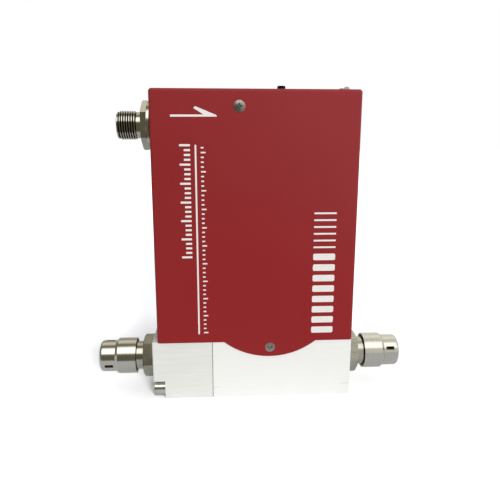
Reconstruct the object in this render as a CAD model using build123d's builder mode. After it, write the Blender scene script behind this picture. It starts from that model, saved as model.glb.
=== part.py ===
from build123d import *
import os

# Thermal mass flow controller for a quarter-inch gas line.
# +X is the flow direction, +Z is up, the front faces -Y.
# The origin is under the middle of the base, on its mounting face. All sizes are in millimetres.

# Base block, in two pieces that are clamped along the flow
block_depth = 28.6
block_height = 27.0
inlet_block_length = 26.7
outlet_margin = 5.15
block_edge = 0.4
joint_edge = 0.15
flow_drop = 11.7
flow_bore = 4.6
notch_room = 1.3

# Fittings: hexagon, neck, thread and sealing nose
hex_width = 17.0
hex_length = 5.3
hex_turn = 6.0
hex_corner_cut = 1.0
neck_undercut = 0.645
neck_length = 5.8
fitting_thread = 14.29
fitting_thread_length = 4.7
nose_diameter = 9.4
nose_length = 1.55
bead_diameter = 7.2
bead_radius = 0.4
stub_diameter = 12.0
stub_length = 6.0

# Protective caps on the fitting threads
cap_start = 8.7
cap_mouth_wall = 0.905
cap_step = 1.0
cap_large_length = 8.3
cap_taper_length = 1.2
cap_small_length = 7.2
cap_thread_clearance = 0.15
cap_mouth_bore = 15.2
cap_mouth_depth = 2.2
cap_mouth_chamfer = 0.2
cap_side_wall = 1.1
cap_end_wall = 1.0
cap_end_round = 1.5
cap_slot_length = 3.8
cap_slot_width = 1.6
cap_slot_setback = 4.4
cap_slot_count = 3
inlet_slot_angle = 20.0
outlet_slot_angle = -27.5

# Cap screws and spring washers that clamp the blocks
clamp_thread = 4.0
clamp_head = 7.0
clamp_head_height = 4.0
clamp_key = 3.0
clamp_engagement = 9.0
clamp_washer_height = 1.2
clamp_low_margin = (0.5, 0.1)
clamp_high_margin = (0.9, 1.7)
screw_hole_clearance = 0.25
thread_clearance = 0.05

# Inlet filter and the ring seal between the blocks
filter_diameter = 11.0
filter_height = 3.0
seal_gap = 0.7
seal_section = 1.5
fit_gap = 0.05

# Laminar flow element in the main block
bypass_diameter = 11.0
bypass_length = 22.0
bypass_channel = 0.8
bypass_channel_count = 12
bypass_core = 7.0

# Thermal flow sensor on top of the main block
sensor_setback = 1.95
sensor_port_spacing = 10.0
sensor_port = 1.6
sensor_board_gap = 2.0
sensor_base_height = 5.0
sensor_base_corner = 1.5
sensor_head_gap = 0.15
sensor_tube_diameter = 0.8
sensor_tube_rise = 22.0
sensor_tube_bend = 2.5
coil_diameter = 1.9
coil_gap = 0.6
coil_end_gap = 0.2
sensor_case_room = 0.5
sensor_case_headroom = 4.0
sensor_case_wall = 1.2
sensor_case_round = 1.0
ring_outer = 3.9
ring_section = 1.0
flex_sheet = 0.2
flex_width = 6.0
flex_exit_height = 15.6
flex_rise = 12.0
flex_reach = 2.0
flex_bend = 0.8

# Control valve: seat, metal diaphragm and stack actuator
valve_chamber = 12.0
valve_chamber_depth = 5.0
diaphragm_diameter = 15.8
diaphragm_thickness = 0.15
diaphragm_depth = 2.8
seat_diameter = 6.0
seat_depth = 2.0
seat_land = 3.4
seat_orifice = 1.5
seat_lift = 0.1
bonnet_head_gap = 0.25
bonnet_side_gap = 1.8
bonnet_height = 5.0
bonnet_corner = 2.0
bonnet_boss_height = 8.0
bonnet_wall = 2.5
valve_screw_spacing = 19.0
valve_ring_gap = 0.4
valve_ring_section = 0.9
plunger_foot = 6.0
plunger_foot_height = 1.5
plunger_stem = 4.0
plunger_height = 9.0
ball_diameter = 3.0
ball_seat = 0.75
stack_width = 6.0
stack_height = 40.0
stack_corner = 0.5
stack_room = 1.5
stack_cap_height = 4.0
stack_cap_clearance = 0.2
actuator_wall = 3.0
actuator_skirt = 2.0
actuator_height = 60.0
actuator_head = 5.0
actuator_edge = 0.3
adjuster_diameter = 8.0
adjuster_end = 2.0
adjuster_slot_width = 1.0
adjuster_slot_depth = 1.2
adjuster_nut_width = 13.0
adjuster_nut_height = 4.0
lead_width = 1.2
lead_height = 2.4
lead_exit_height = 8.0
lead_landing = 4.0
lead_bend = 1.0

# Small cap screws
small_thread = 3.0
small_head = 5.5
small_head_height = 3.0
small_key = 2.5
small_engagement = 4.6

# Proportions that the screws share, as parts of the head's height, and the cut of nut corners
cap_edge_ratio = 0.08
cap_key_ratio = 0.5
pan_edge_ratio = 0.4
nut_corner_cut = 0.7

# Cover: one painted sheet, open below, with an arc tab on each long side
cover_height = 108.0
cover_setback = 2.5
cover_sheet = 0.8
cover_gap = 0.05
cover_bend = 1.3
tab_x = 7.7
tab_width = 40.7
tab_drop = 7.1
tab_screw_drop = 2.8
upper_screw_x = -5.7
upper_screw_drop = 6.9
cover_thread = 2.5
upper_screw_head = 4.8
upper_head_height = 1.0
upper_rim_ratio = 0.3
upper_shoulder_ratio = 0.82
lower_screw_head = 4.4
tab_screw_length = 5.0
upper_screw_length = 4.8
recess_length = 2.5
recess_width = 0.6
recess_depth = 0.9
recess_root_ratio = 0.5

# Chassis: one folded sheet that carries the boards
chassis_sheet = 1.0
chassis_gap = 0.1
chassis_bend = 1.5
chassis_lift = 2.0
chassis_left_gap = 2.15
chassis_right_gap = 1.05
chassis_step_x = -18.0
chassis_step_drop = 8.7
shelf_drop = 10.0
shelf_flange = 6.0
shelf_front = 8.0
lip_half_width = 6.5
lip_drop = 3.5
lip_notch_gap = 0.5
foot_reach = 12.2
foot_flange = 6.0
inlet_foot_setback = (1.0, 2.05)
middle_foot_length = 5.0
middle_foot_gap = (0.2, 0.3)
foot_screw_inset = 3.0

# Boards
board_sheet = 1.6
board_inset = 2.0
board_actuator_gap = 3.0
board_lift = 9.0
board_nut_gap = 0.3
board_shelf_gap = 0.5
board_corner = 1.0
board_post_inset = 4.0
spacer_height = 2.0
post_width = 5.0
post_thread = 2.5
post_thread_depth = 6.0
post_engagement = 5.0
board_front_gap = 3.15
board_screw_head = 4.5
board_screw_height = 1.6
processor_place = (13.0, 42.0)
processor_width = 14.0
processor_height = 1.4
processor_draft = 6.0
capacitor_count = 3
capacitor_place = (14.0, 10.0)
capacitor_diameter = 6.3
capacitor_height = 7.7
capacitor_edge = 0.4
capacitor_gap = 2.0
link_place = (32.0, 34.0)
link_length = 20.0
link_depth = 5.0

# Panel board under the cover's top, with the switch, the lamp and the lens
panel_sheet = 1.2
panel_setback = 10.0
panel_front_reach = 7.0
panel_screw_gap = 0.35
panel_boss = 4.8
panel_boss_height = 1.5
panel_boss_left = (3.5, -3.5)
panel_boss_right = (8.0, 3.5)
panel_screw_thread = 2.0
panel_screw_head = 3.8
panel_screw_height = 1.3
header_length = 12.7
header_depth = 2.5
header_height = 8.0
header_inset = 1.0
header_tip = 1.0
header_pin = 0.6
header_pin_clearance = 0.1
header_pitch = 2.54
header_pin_count = 5
button_x = 12.9
button_diameter = 3.5
button_above_cover = 2.3
button_travel = 0.25
button_flange = 4.4
button_flange_height = 1.4
button_clearance = 0.08
button_hole = 4.3
button_edge = 0.2
switch_width = 6.0
switch_height = 3.2
switch_plate_sheet = 0.3
dome_sheet = 0.08
dome_rest = 0.17
dome_clearance = 0.18
lens_setback = 3.25
lens_diameter = 2.8
lens_above_cover = 2.3
lens_foot_reach = 3.3
lens_foot_height = 1.5
lens_foot_round = 0.35
lens_stem = 2.4
lens_stem_gap = 0.1
lens_hole_clearance = 0.2
lamp_width = 2.0
lamp_height = 1.2
lamp_inset = 1.0

# Round five-pin connector on the left side
connector_drop = 14.3
connector_thread = 12.0
connector_thread_length = 7.4
connector_lead_in = 0.8
connector_thread_run = 0.7
connector_undercut = 0.55
connector_neck_length = 2.3
connector_hex = 18.0
connector_hex_length = 2.4
connector_hex_back_cut = 0.3
connector_hex_front_cut = 0.8
connector_collar = 20.0
connector_collar_length = 1.2
gasket_section = 0.8
gasket_inset = 0.6
mount_thread = 15.2
mount_thread_length = 8.0
connector_wall = 0.85
insert_depth = 7.6
insert_length = 14.0
pin_diameter = 1.0
pin_length = 6.4
pin_circle = 5.3
pin_tail = 3.0
pin_point = 0.25
key_width = 1.2
key_height = 0.7
key_setback = 1.0
nut_wall = 1.4
nut_height = 3.0
ribbon_width = 5.0
ribbon_sheet = 0.6
ribbon_reach = 4.0
ribbon_landing = 8.0
ribbon_bend = 1.5

# Threads in the underside of the main block that hold the controller down
mount_middle_x = 18.0
mount_spacing_x = 44.0
mount_spacing_y = 16.0
mount_thread_bore = 3.3
mount_thread_depth = 6.0

# Sizes worked out from the sizes above: sensor, valve and the block that carries both
sensor_case_length = sensor_port_spacing + 2 * (sensor_case_room + sensor_case_wall)
sensor_case_height = sensor_tube_rise + sensor_case_headroom
sensor_screw_spacing = sensor_case_length + small_head + 2 * sensor_head_gap
sensor_base_length = sensor_screw_spacing + small_head + 2 * sensor_head_gap
bonnet_width = valve_screw_spacing + small_head + 2 * bonnet_head_gap
bonnet_depth = block_depth - 2 * bonnet_side_gap
valve_screw_spacing_y = bonnet_depth - small_head - 2 * bonnet_head_gap
foot_space = middle_foot_gap[0] + middle_foot_length + middle_foot_gap[1]
main_block_length = sensor_setback + sensor_base_length + foot_space + bonnet_width + outlet_margin
block_length = inlet_block_length + main_block_length
notch_length = clamp_head_height + clamp_washer_height

# Blocks and fittings
block_left = -block_length / 2
block_right = block_length / 2
block_side = block_depth / 2
joint_x = block_left + inlet_block_length
notch_x = block_left + notch_length
flow_height = block_height - flow_drop
neck_diameter = fitting_thread - 2 * neck_undercut
thread_start = block_right + hex_length + neck_length
thread_end = thread_start + fitting_thread_length
fitting_face = thread_end + nose_length
cap_large = fitting_thread + 2 * (cap_thread_clearance + cap_mouth_wall)
cap_small = cap_large - 2 * cap_step
cap_nose_bore = cap_small - 2 * cap_side_wall
clamp_inset = clamp_head / 2
low_y = block_side - clamp_inset - clamp_low_margin[0]
low_z = clamp_inset + clamp_low_margin[1]
high_y = block_side - clamp_inset - clamp_high_margin[0]
high_z = block_height - clamp_inset - clamp_high_margin[1]
notch_height = low_z + clamp_inset + notch_room
seal_outer = filter_diameter + 2 * (seal_gap + seal_section)

# Cover
cover_right = block_right
cover_length = block_length - cover_setback
cover_left = cover_right - cover_length
cover_top = block_height + cover_height
cover_depth = block_depth + 2 * (cover_gap + cover_sheet)
cover_front = -cover_depth / 2
tab_radius = (tab_width ** 2 / 4 + tab_drop ** 2) / (2 * tab_drop)
tab_centre_z = block_height - tab_drop + tab_radius
tab_screw_height = block_height - tab_screw_drop
upper_screw_height = cover_top - upper_screw_drop
connector_height = cover_top - connector_drop
nut_width = mount_thread + 2 * nut_wall

# Sensor and valve, set out along the flow from the joint of the blocks
sensor_x = joint_x + sensor_setback + sensor_base_length / 2
sensor_ports = [sensor_x - sensor_port_spacing / 2, sensor_x + sensor_port_spacing / 2]
coil_length = (sensor_port_spacing - 2 * sensor_tube_bend - coil_gap) / 2 - coil_end_gap
middle_foot_start = sensor_x + sensor_base_length / 2 + middle_foot_gap[0]
middle_foot_end = middle_foot_start + middle_foot_length
bonnet_bore = stack_width + 2 * stack_room
bonnet_boss = bonnet_bore + 2 * bonnet_wall
bonnet_top = block_height + bonnet_height
valve_x = middle_foot_end + middle_foot_gap[1] + bonnet_width / 2
valve_chamber_floor = block_height - valve_chamber_depth
diaphragm_level = block_height - diaphragm_depth
valve_ring_outer = diaphragm_diameter + 2 * (valve_ring_section + valve_ring_gap)
actuator_diameter = bonnet_boss + 2 * actuator_skirt
actuator_bore = actuator_diameter - 2 * actuator_wall
housing_top = bonnet_top + actuator_height

# Chassis and boards
chassis_left = cover_left + cover_sheet + chassis_left_gap
chassis_right = cover_right - cover_sheet - chassis_right_gap
chassis_back = block_side - chassis_gap
chassis_front = chassis_back - chassis_sheet
chassis_step_height = connector_height - chassis_step_drop
shelf_height = cover_top - shelf_drop
lip_top = cover_top - lip_drop
foot_screw_y = chassis_back - foot_reach + foot_screw_inset
inlet_foot = (chassis_left + inlet_foot_setback[0], joint_x - inlet_foot_setback[1])
middle_foot = (middle_foot_start, middle_foot_end)
control_back = chassis_front - spacer_height
control_front = control_back - board_sheet
power_front = -block_side - cover_gap + board_front_gap + board_screw_height
power_back = power_front + board_sheet
board_spacing = control_front - power_back
sensor_base_depth = 2 * (-power_back - sensor_board_gap)
board_left = chassis_left + board_inset
board_right = valve_x - actuator_diameter / 2 - board_actuator_gap
board_bottom = block_height + board_lift
board_top = connector_height - nut_width / 3 ** 0.5 - board_nut_gap
control_top = shelf_height - chassis_sheet - board_shelf_gap
post_places = [
    (x, z)
    for x in (board_left + board_post_inset, board_right - board_post_inset)
    for z in (board_bottom + board_post_inset, board_top - board_post_inset)
]
panel_left = chassis_step_x + panel_setback
panel_right = chassis_right
panel_back_reach = cover_depth / 2 - upper_screw_length - panel_screw_gap
panel_bottom = shelf_height + panel_boss_height
panel_top = panel_bottom + panel_sheet
switch_top = panel_top + switch_height
header_x = board_right - 2 * board_post_inset - header_length / 2
header_y = control_front - header_depth / 2
header_start = board_top - header_inset
boss_places = [
    (panel_left + panel_boss_left[0], panel_boss_left[1]),
    (panel_right - panel_boss_right[0], panel_boss_right[1]),
]
lens_x = cover_right - lens_setback
lens_foot_left = lens_x - lens_foot_reach

# Planes and axes that the pieces share
flow_plane = Plane(origin=(0, 0, flow_height), x_dir=(1, 0, 0), z_dir=(0, -1, 0))
flow_axis = Axis((0, 0, flow_height), (1, 0, 0))
connector_plane = Plane(origin=(cover_left, 0, connector_height), x_dir=(-1, 0, 0), z_dir=(0, 1, 0))
connector_axis = Axis((cover_left, 0, connector_height), (1, 0, 0))
valve_plane = Plane(origin=(valve_x, 0, 0), x_dir=(1, 0, 0), z_dir=(0, -1, 0))
valve_axis = Axis((valve_x, 0, 0), (0, 0, 1))

os.makedirs("parts", exist_ok=True)


def save(part, name):
    """Label a finished piece and write it under its own name."""
    part.label = name
    export_step(part, f"parts/{name}.step")


def facing(x, y, z, direction):
    """Plane at a point with its normal along the given direction."""
    return Plane(origin=(x, y, z), z_dir=direction)


tab_screw_planes = [
    facing(tab_x, cover_front, tab_screw_height, (0, -1, 0)),
    facing(tab_x, -cover_front, tab_screw_height, (0, 1, 0)),
]
upper_screw_planes = [
    facing(upper_screw_x, cover_front, upper_screw_height, (0, -1, 0)),
    facing(upper_screw_x, -cover_front, upper_screw_height, (0, 1, 0)),
]


def cap_screw(thread, length, head, head_height, key):
    """Socket head cap screw: the head stands on the origin along +Z, the shank goes down."""
    with BuildPart() as screw:
        Cylinder(head / 2, head_height, align=(Align.CENTER, Align.CENTER, Align.MIN))
        chamfer(screw.edges().group_by(Axis.Z)[-1], head_height * cap_edge_ratio)
        Cylinder(thread / 2, length, align=(Align.CENTER, Align.CENTER, Align.MAX))
        with BuildSketch(Plane.XY.offset(head_height)):
            RegularPolygon(key / 2, 6, major_radius=False)
        extrude(amount=-head_height * cap_key_ratio, mode=Mode.SUBTRACT)
    return screw.part


def pan_screw(thread, length, head, head_height):
    """Low screw: the head stands on the origin along +Z, the shank goes down."""
    with BuildPart() as screw:
        Cylinder(head / 2, head_height, align=(Align.CENTER, Align.CENTER, Align.MIN))
        chamfer(screw.edges().group_by(Axis.Z)[-1], head_height * pan_edge_ratio)
        Cylinder(thread / 2, length, align=(Align.CENTER, Align.CENTER, Align.MAX))
    return screw.part


def cross_recess(level):
    """Two crossed slots from the given height down, their ends sloping in to a narrower floor."""
    with BuildPart() as recess:
        for turn in (0, 90):
            with BuildSketch(Plane.XY.offset(level)):
                Rectangle(recess_length, recess_width, rotation=turn)
            with BuildSketch(Plane.XY.offset(level - recess_depth)):
                Rectangle(recess_length * recess_root_ratio, recess_width, rotation=turn)
            loft()
    return recess.part


def hexagon_nut(width, height, bore):
    """Hexagon nut from z = 0 up, with the corners cut at its upper end."""
    corner_radius = width / 3 ** 0.5
    with BuildPart() as nut:
        with BuildSketch():
            RegularPolygon(width / 2, 6, major_radius=False)
        extrude(amount=height)
        with BuildSketch(Plane.XZ):
            with BuildLine():
                Polyline(
                    (0, 0), (corner_radius, 0), (corner_radius, height - nut_corner_cut / 2),
                    (corner_radius - nut_corner_cut, height), (0, height), close=True,
                )
            make_face()
        revolve(axis=Axis.Z, mode=Mode.INTERSECT)
        Cylinder(bore / 2, 4 * height, mode=Mode.SUBTRACT)
    return nut.part


def ring_seal(outer, section):
    """Flat metal ring seal of square section, just under z = 0."""
    with BuildPart() as ring:
        Cylinder(outer / 2, section, align=(Align.CENTER, Align.CENTER, Align.MAX))
        Cylinder(outer / 2 - section, 4 * section, mode=Mode.SUBTRACT)
    return ring.part


def set_out(piece, planes):
    """Copies of one piece, one at each plane, as separate solids in a group."""
    with BuildPart() as group:
        with Locations(*planes):
            add(piece)
    return group.part


# Inlet block: notch, clamp screw holes, socket for the fitting, filter and seal seats
with BuildPart() as inlet_block:
    with BuildSketch(Plane.YZ.offset(block_left)):
        with Locations((0, block_height / 2)):
            Rectangle(block_depth, block_height)
    extrude(amount=inlet_block_length)
    outer_edges = inlet_block.faces().sort_by(Axis.X)[0].edges() + inlet_block.edges().filter_by(Axis.X)
    chamfer(outer_edges, block_edge)
    chamfer(inlet_block.faces().sort_by(Axis.X)[-1].edges(), joint_edge)
    with BuildSketch(Plane.XZ.offset(-block_depth)):
        with Locations((block_left, 0)):
            Rectangle(2 * notch_length, 2 * notch_height)
    extrude(amount=2 * block_depth, mode=Mode.SUBTRACT)
    with BuildSketch(Plane.YZ.offset(block_left)):
        with Locations((0, flow_height)):
            Circle(stub_diameter / 2 + fit_gap)
    extrude(amount=stub_length + fit_gap, mode=Mode.SUBTRACT)
    with BuildSketch(Plane.YZ.offset(block_left)):
        with Locations((0, flow_height)):
            Circle(flow_bore / 2)
    extrude(amount=inlet_block_length, mode=Mode.SUBTRACT)
    with BuildSketch(Plane.YZ.offset(joint_x)):
        with Locations((0, flow_height)):
            Circle(filter_diameter / 2 + fit_gap)
    extrude(amount=-filter_height - fit_gap, mode=Mode.SUBTRACT)
    with BuildSketch(Plane.YZ.offset(joint_x)):
        with Locations((0, flow_height)):
            Circle(seal_outer / 2 + fit_gap)
            Circle(seal_outer / 2 - seal_section - fit_gap, mode=Mode.SUBTRACT)
    extrude(amount=-seal_section, mode=Mode.SUBTRACT)
    with BuildSketch(Plane.YZ.offset(block_left)):
        with Locations((low_y, low_z), (-low_y, low_z), (high_y, high_z), (-high_y, high_z)):
            Circle(clamp_thread / 2 + screw_hole_clearance)
    extrude(amount=inlet_block_length, mode=Mode.SUBTRACT)
    with BuildSketch(Plane.YZ.offset(block_left)):
        with Locations((high_y, high_z), (-high_y, high_z)):
            Circle(clamp_head / 2 + screw_hole_clearance)
    extrude(amount=notch_length, mode=Mode.SUBTRACT)
    foot_mid = sum(inlet_foot) / 2
    foot_screw_offset = (inlet_foot[1] - inlet_foot[0]) / 4
    with Locations(
        facing(foot_mid - foot_screw_offset, foot_screw_y, block_height, (0, 0, 1)),
        facing(foot_mid + foot_screw_offset, foot_screw_y, block_height, (0, 0, 1)),
    ):
        Hole(post_thread / 2 + thread_clearance, small_engagement)
save(inlet_block.part, "inlet_block")

# Main block: flow element bore, sensor ports, valve chamber, outlet and mounting threads
valve_port_x = valve_x - valve_chamber / 2 + seat_orifice
with BuildPart() as main_block:
    with BuildSketch(Plane.YZ.offset(joint_x)):
        with Locations((0, block_height / 2)):
            Rectangle(block_depth, block_height)
    extrude(amount=block_right - joint_x)
    outer_edges = main_block.faces().sort_by(Axis.X)[-1].edges() + main_block.edges().filter_by(Axis.X)
    chamfer(outer_edges, block_edge)
    chamfer(main_block.faces().sort_by(Axis.X)[0].edges(), joint_edge)
    with BuildSketch(Plane.YZ.offset(joint_x)):
        with Locations((0, flow_height)):
            Circle(bypass_diameter / 2 + fit_gap)
    extrude(amount=bypass_length + fit_gap, mode=Mode.SUBTRACT)
    with BuildSketch(Plane.YZ.offset(joint_x)):
        with Locations((0, flow_height)):
            Circle(flow_bore / 2)
    extrude(amount=valve_port_x + seat_orifice / 2 - joint_x, mode=Mode.SUBTRACT)
    with BuildSketch(Plane.YZ.offset(block_right)):
        with Locations((0, flow_height)):
            Circle(flow_bore / 2)
    extrude(amount=-(block_right - valve_x + seat_orifice / 2), mode=Mode.SUBTRACT)
    with BuildSketch(Plane.YZ.offset(block_right)):
        with Locations((0, flow_height)):
            Circle(stub_diameter / 2 + fit_gap)
    extrude(amount=-stub_length - fit_gap, mode=Mode.SUBTRACT)
    with BuildSketch(Plane.XY.offset(flow_height)):
        with Locations((valve_port_x, 0), (valve_x, 0)):
            Circle(seat_orifice / 2)
    extrude(amount=valve_chamber_floor - flow_height, mode=Mode.SUBTRACT)
    with BuildSketch(Plane.XY.offset(flow_height)):
        with Locations(*[(x, 0) for x in sensor_ports]):
            Circle(sensor_port / 2)
    extrude(amount=block_height - flow_height, mode=Mode.SUBTRACT)
    with BuildSketch(Plane.XY.offset(block_height)):
        with Locations(*[(x, 0) for x in sensor_ports]):
            Circle(ring_outer / 2 + fit_gap)
    extrude(amount=-ring_section, mode=Mode.SUBTRACT)
    with BuildSketch(valve_plane):
        with BuildLine():
            Polyline(
                (0, valve_chamber_floor - seat_depth), (seat_diameter / 2, valve_chamber_floor - seat_depth),
                (seat_diameter / 2, valve_chamber_floor), (valve_chamber / 2, valve_chamber_floor),
                (valve_chamber / 2, diaphragm_level), (diaphragm_diameter / 2 + fit_gap, diaphragm_level),
                (diaphragm_diameter / 2 + fit_gap, block_height - valve_ring_section),
                (valve_ring_outer / 2 + fit_gap, block_height - valve_ring_section),
                (valve_ring_outer / 2 + fit_gap, block_height), (0, block_height), close=True,
            )
        make_face()
    revolve(axis=valve_axis, mode=Mode.SUBTRACT)
    with BuildSketch(Plane.YZ.offset(joint_x)):
        with Locations((low_y, low_z), (-low_y, low_z), (high_y, high_z), (-high_y, high_z)):
            Circle(clamp_thread / 2 + thread_clearance)
    extrude(amount=clamp_engagement + fit_gap, mode=Mode.SUBTRACT)
    with Locations(facing(sensor_x, 0, block_height, (0, 0, 1))):
        with GridLocations(sensor_screw_spacing, 0, 2, 1):
            Hole(small_thread / 2 + thread_clearance, small_engagement)
    with Locations(facing(valve_x, 0, block_height, (0, 0, 1))):
        with GridLocations(valve_screw_spacing, valve_screw_spacing_y, 2, 2):
            Hole(small_thread / 2 + thread_clearance, small_engagement)
    with Locations(facing(sum(middle_foot) / 2, foot_screw_y, block_height, (0, 0, 1))):
        Hole(post_thread / 2 + thread_clearance, small_engagement)
    with Locations(*tab_screw_planes):
        CounterSinkHole(
            cover_thread / 2 + thread_clearance, lower_screw_head / 2 + fit_gap,
            depth=tab_screw_length + fit_gap, counter_sink_angle=90,
        )
    with Locations(facing(mount_middle_x, 0, 0, (0, 0, -1))):
        with GridLocations(mount_spacing_x, mount_spacing_y, 2, 2):
            Hole(mount_thread_bore / 2, mount_thread_depth)
save(main_block.part, "main_block")

# Outlet fitting: stub in the block, hexagon, neck, thread and nose with its sealing bead
with BuildPart() as outlet_fitting:
    with BuildSketch(Plane.YZ.offset(block_right)):
        with Locations((0, flow_height)):
            RegularPolygon(hex_width / 2, 6, major_radius=False, rotation=hex_turn)
    extrude(amount=hex_length)
    corner_radius = hex_width / 3 ** 0.5
    hex_end = block_right + hex_length
    with BuildSketch(flow_plane):
        with BuildLine():
            Polyline(
                (block_right, 0), (block_right, corner_radius), (hex_end - hex_corner_cut / 2, corner_radius),
                (hex_end, corner_radius - hex_corner_cut), (hex_end, 0), close=True,
            )
        make_face()
    revolve(axis=flow_axis, mode=Mode.INTERSECT)
    thread_edge = (fitting_thread - neck_diameter) / 2
    with BuildSketch(flow_plane):
        with BuildLine():
            Polyline(
                (block_right - stub_length, 0), (block_right - stub_length, stub_diameter / 2),
                (block_right, stub_diameter / 2), (block_right, neck_diameter / 2),
                (thread_start - thread_edge, neck_diameter / 2), (thread_start, fitting_thread / 2),
                (thread_end - thread_edge, fitting_thread / 2), (thread_end, neck_diameter / 2),
                (thread_end, nose_diameter / 2), (fitting_face, nose_diameter / 2),
                (fitting_face, 0), close=True,
            )
        make_face()
        with Locations((fitting_face, bead_diameter / 2)):
            Circle(bead_radius)
    revolve(axis=flow_axis)
    with BuildSketch(Plane.YZ.offset(block_right - stub_length)):
        with Locations((0, flow_height)):
            Circle(flow_bore / 2)
    extrude(amount=fitting_face - block_right + stub_length + bead_radius, mode=Mode.SUBTRACT)
save(outlet_fitting.part, "outlet_fitting")

with BuildPart() as inlet_fitting:
    mirror(outlet_fitting.part, about=Plane.YZ)
save(inlet_fitting.part, "inlet_fitting")


def protective_cap(slot_angle):
    """Stepped cap on the outlet side: thread bore, nose bore, closed end and vent slots."""
    start = block_right + cap_start
    taper_start = start + cap_large_length
    small_start = taper_start + cap_taper_length
    end = small_start + cap_small_length
    bore = fitting_thread / 2 + cap_thread_clearance
    mouth = cap_mouth_bore / 2
    with BuildPart() as cap:
        with BuildSketch(flow_plane):
            with BuildLine():
                Polyline(
                    (start + cap_mouth_depth, bore), (start + cap_mouth_depth, mouth),
                    (start + cap_mouth_chamfer, mouth), (start, mouth + cap_mouth_chamfer),
                    (start, cap_large / 2), (taper_start, cap_large / 2),
                    (small_start, cap_small / 2), (end, cap_small / 2), (end, 0), (end - cap_end_wall, 0),
                    (end - cap_end_wall, cap_nose_bore / 2), (thread_end, cap_nose_bore / 2),
                    (thread_end, bore), close=True,
                )
            make_face()
        revolve(axis=flow_axis)
        fillet(cap.edges().group_by(Axis.X)[-1], cap_end_round)
        slot_x = end - cap_slot_setback
        slot_plane = Plane(origin=(slot_x, 0, flow_height), x_dir=(0, -1, 0), z_dir=(1, 0, 0))
        with Locations(slot_plane):
            with PolarLocations(cap_small / 2, cap_slot_count, slot_angle):
                Box(cap_small / 2, cap_slot_width, cap_slot_length, mode=Mode.SUBTRACT)
    return cap.part


outlet_cap = protective_cap(outlet_slot_angle)
save(outlet_cap, "outlet_cap")
with BuildPart() as inlet_cap:
    mirror(protective_cap(inlet_slot_angle), about=Plane.YZ)
save(inlet_cap.part, "inlet_cap")

# Clamp screws with their spring washers: two in the notch, two in counterbores above
clamp_seats = [
    (notch_x, low_y, low_z), (notch_x, -low_y, low_z),
    (notch_x, high_y, high_z), (notch_x, -high_y, high_z),
]
clamp_length = joint_x - notch_x + clamp_engagement + clamp_washer_height
clamp_screw = cap_screw(clamp_thread, clamp_length, clamp_head, clamp_head_height, clamp_key)
clamp_head_x = notch_x - clamp_washer_height
clamp_screws = set_out(clamp_screw, [facing(clamp_head_x, y, z, (-1, 0, 0)) for x, y, z in clamp_seats])
save(clamp_screws, "clamp_screws")

with BuildPart() as clamp_washer:
    Cylinder(clamp_head / 2, clamp_washer_height, align=(Align.CENTER, Align.CENTER, Align.MIN))
    Cylinder(clamp_thread / 2 + thread_clearance, 4 * clamp_washer_height, mode=Mode.SUBTRACT)
    with Locations((clamp_head / 2, 0, 0)):
        Box(clamp_head, clamp_washer_height / 2, 4 * clamp_washer_height, mode=Mode.SUBTRACT)
clamp_washers = set_out(clamp_washer.part, [facing(x, y, z, (-1, 0, 0)) for x, y, z in clamp_seats])
save(clamp_washers, "clamp_washers")

# Ring seal and filter disc at the joint of the blocks
inlet_seal = ring_seal(seal_outer, seal_section)
save(set_out(inlet_seal, [facing(joint_x, 0, flow_height, (1, 0, 0))]), "inlet_seal")

with BuildPart() as inlet_filter:
    with BuildSketch(Plane.YZ.offset(joint_x)):
        with Locations((0, flow_height)):
            Circle(filter_diameter / 2)
    extrude(amount=-filter_height)
save(inlet_filter.part, "inlet_filter")

# Laminar flow element: a plug with narrow channels round its rim and a groove under each sensor port
with BuildPart() as bypass_element:
    with BuildSketch(Plane.YZ.offset(joint_x)):
        with Locations((0, flow_height)):
            Circle(bypass_diameter / 2)
    extrude(amount=bypass_length)
    with BuildSketch(Plane.YZ.offset(joint_x)):
        with Locations((0, flow_height)):
            with PolarLocations(bypass_diameter / 2, bypass_channel_count):
                Rectangle(2 * bypass_channel, bypass_channel)
    extrude(amount=bypass_length, mode=Mode.SUBTRACT)
    with BuildSketch(flow_plane):
        with Locations(*[(x, bypass_diameter / 2) for x in sensor_ports]):
            Rectangle(2 * sensor_port, bypass_diameter - bypass_core)
    revolve(axis=flow_axis, mode=Mode.SUBTRACT)
save(bypass_element.part, "bypass_element")

# Sensor: base, two port rings, the heated capillary with its two coils, and a case in two halves
with BuildPart() as sensor_base:
    with BuildSketch(Plane.XY.offset(block_height)):
        with Locations((sensor_x, 0)):
            RectangleRounded(sensor_base_length, sensor_base_depth, sensor_base_corner)
    extrude(amount=sensor_base_height)
    with Locations(facing(sensor_x, 0, block_height + sensor_base_height, (0, 0, 1))):
        with GridLocations(sensor_screw_spacing, 0, 2, 1):
            Hole(small_thread / 2 + screw_hole_clearance)
        with GridLocations(sensor_port_spacing, 0, 2, 1):
            Hole(sensor_tube_diameter / 2 + fit_gap)
save(sensor_base.part, "sensor_base")

port_ring = ring_seal(ring_outer, ring_section)
save(set_out(port_ring, [facing(x, 0, block_height, (0, 0, 1)) for x in sensor_ports]), "sensor_seals")

tube_top = block_height + sensor_base_height + sensor_tube_rise
with BuildPart() as sensor_tube:
    with BuildLine():
        FilletPolyline(
            (sensor_ports[0], 0, block_height + fit_gap), (sensor_ports[0], 0, tube_top),
            (sensor_ports[1], 0, tube_top), (sensor_ports[1], 0, block_height + fit_gap),
            radius=sensor_tube_bend,
        )
    with BuildSketch(Plane.XY.offset(block_height + fit_gap)):
        with Locations((sensor_ports[0], 0)):
            Circle(sensor_tube_diameter / 2)
    sweep()
save(sensor_tube.part, "sensor_tube")

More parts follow.
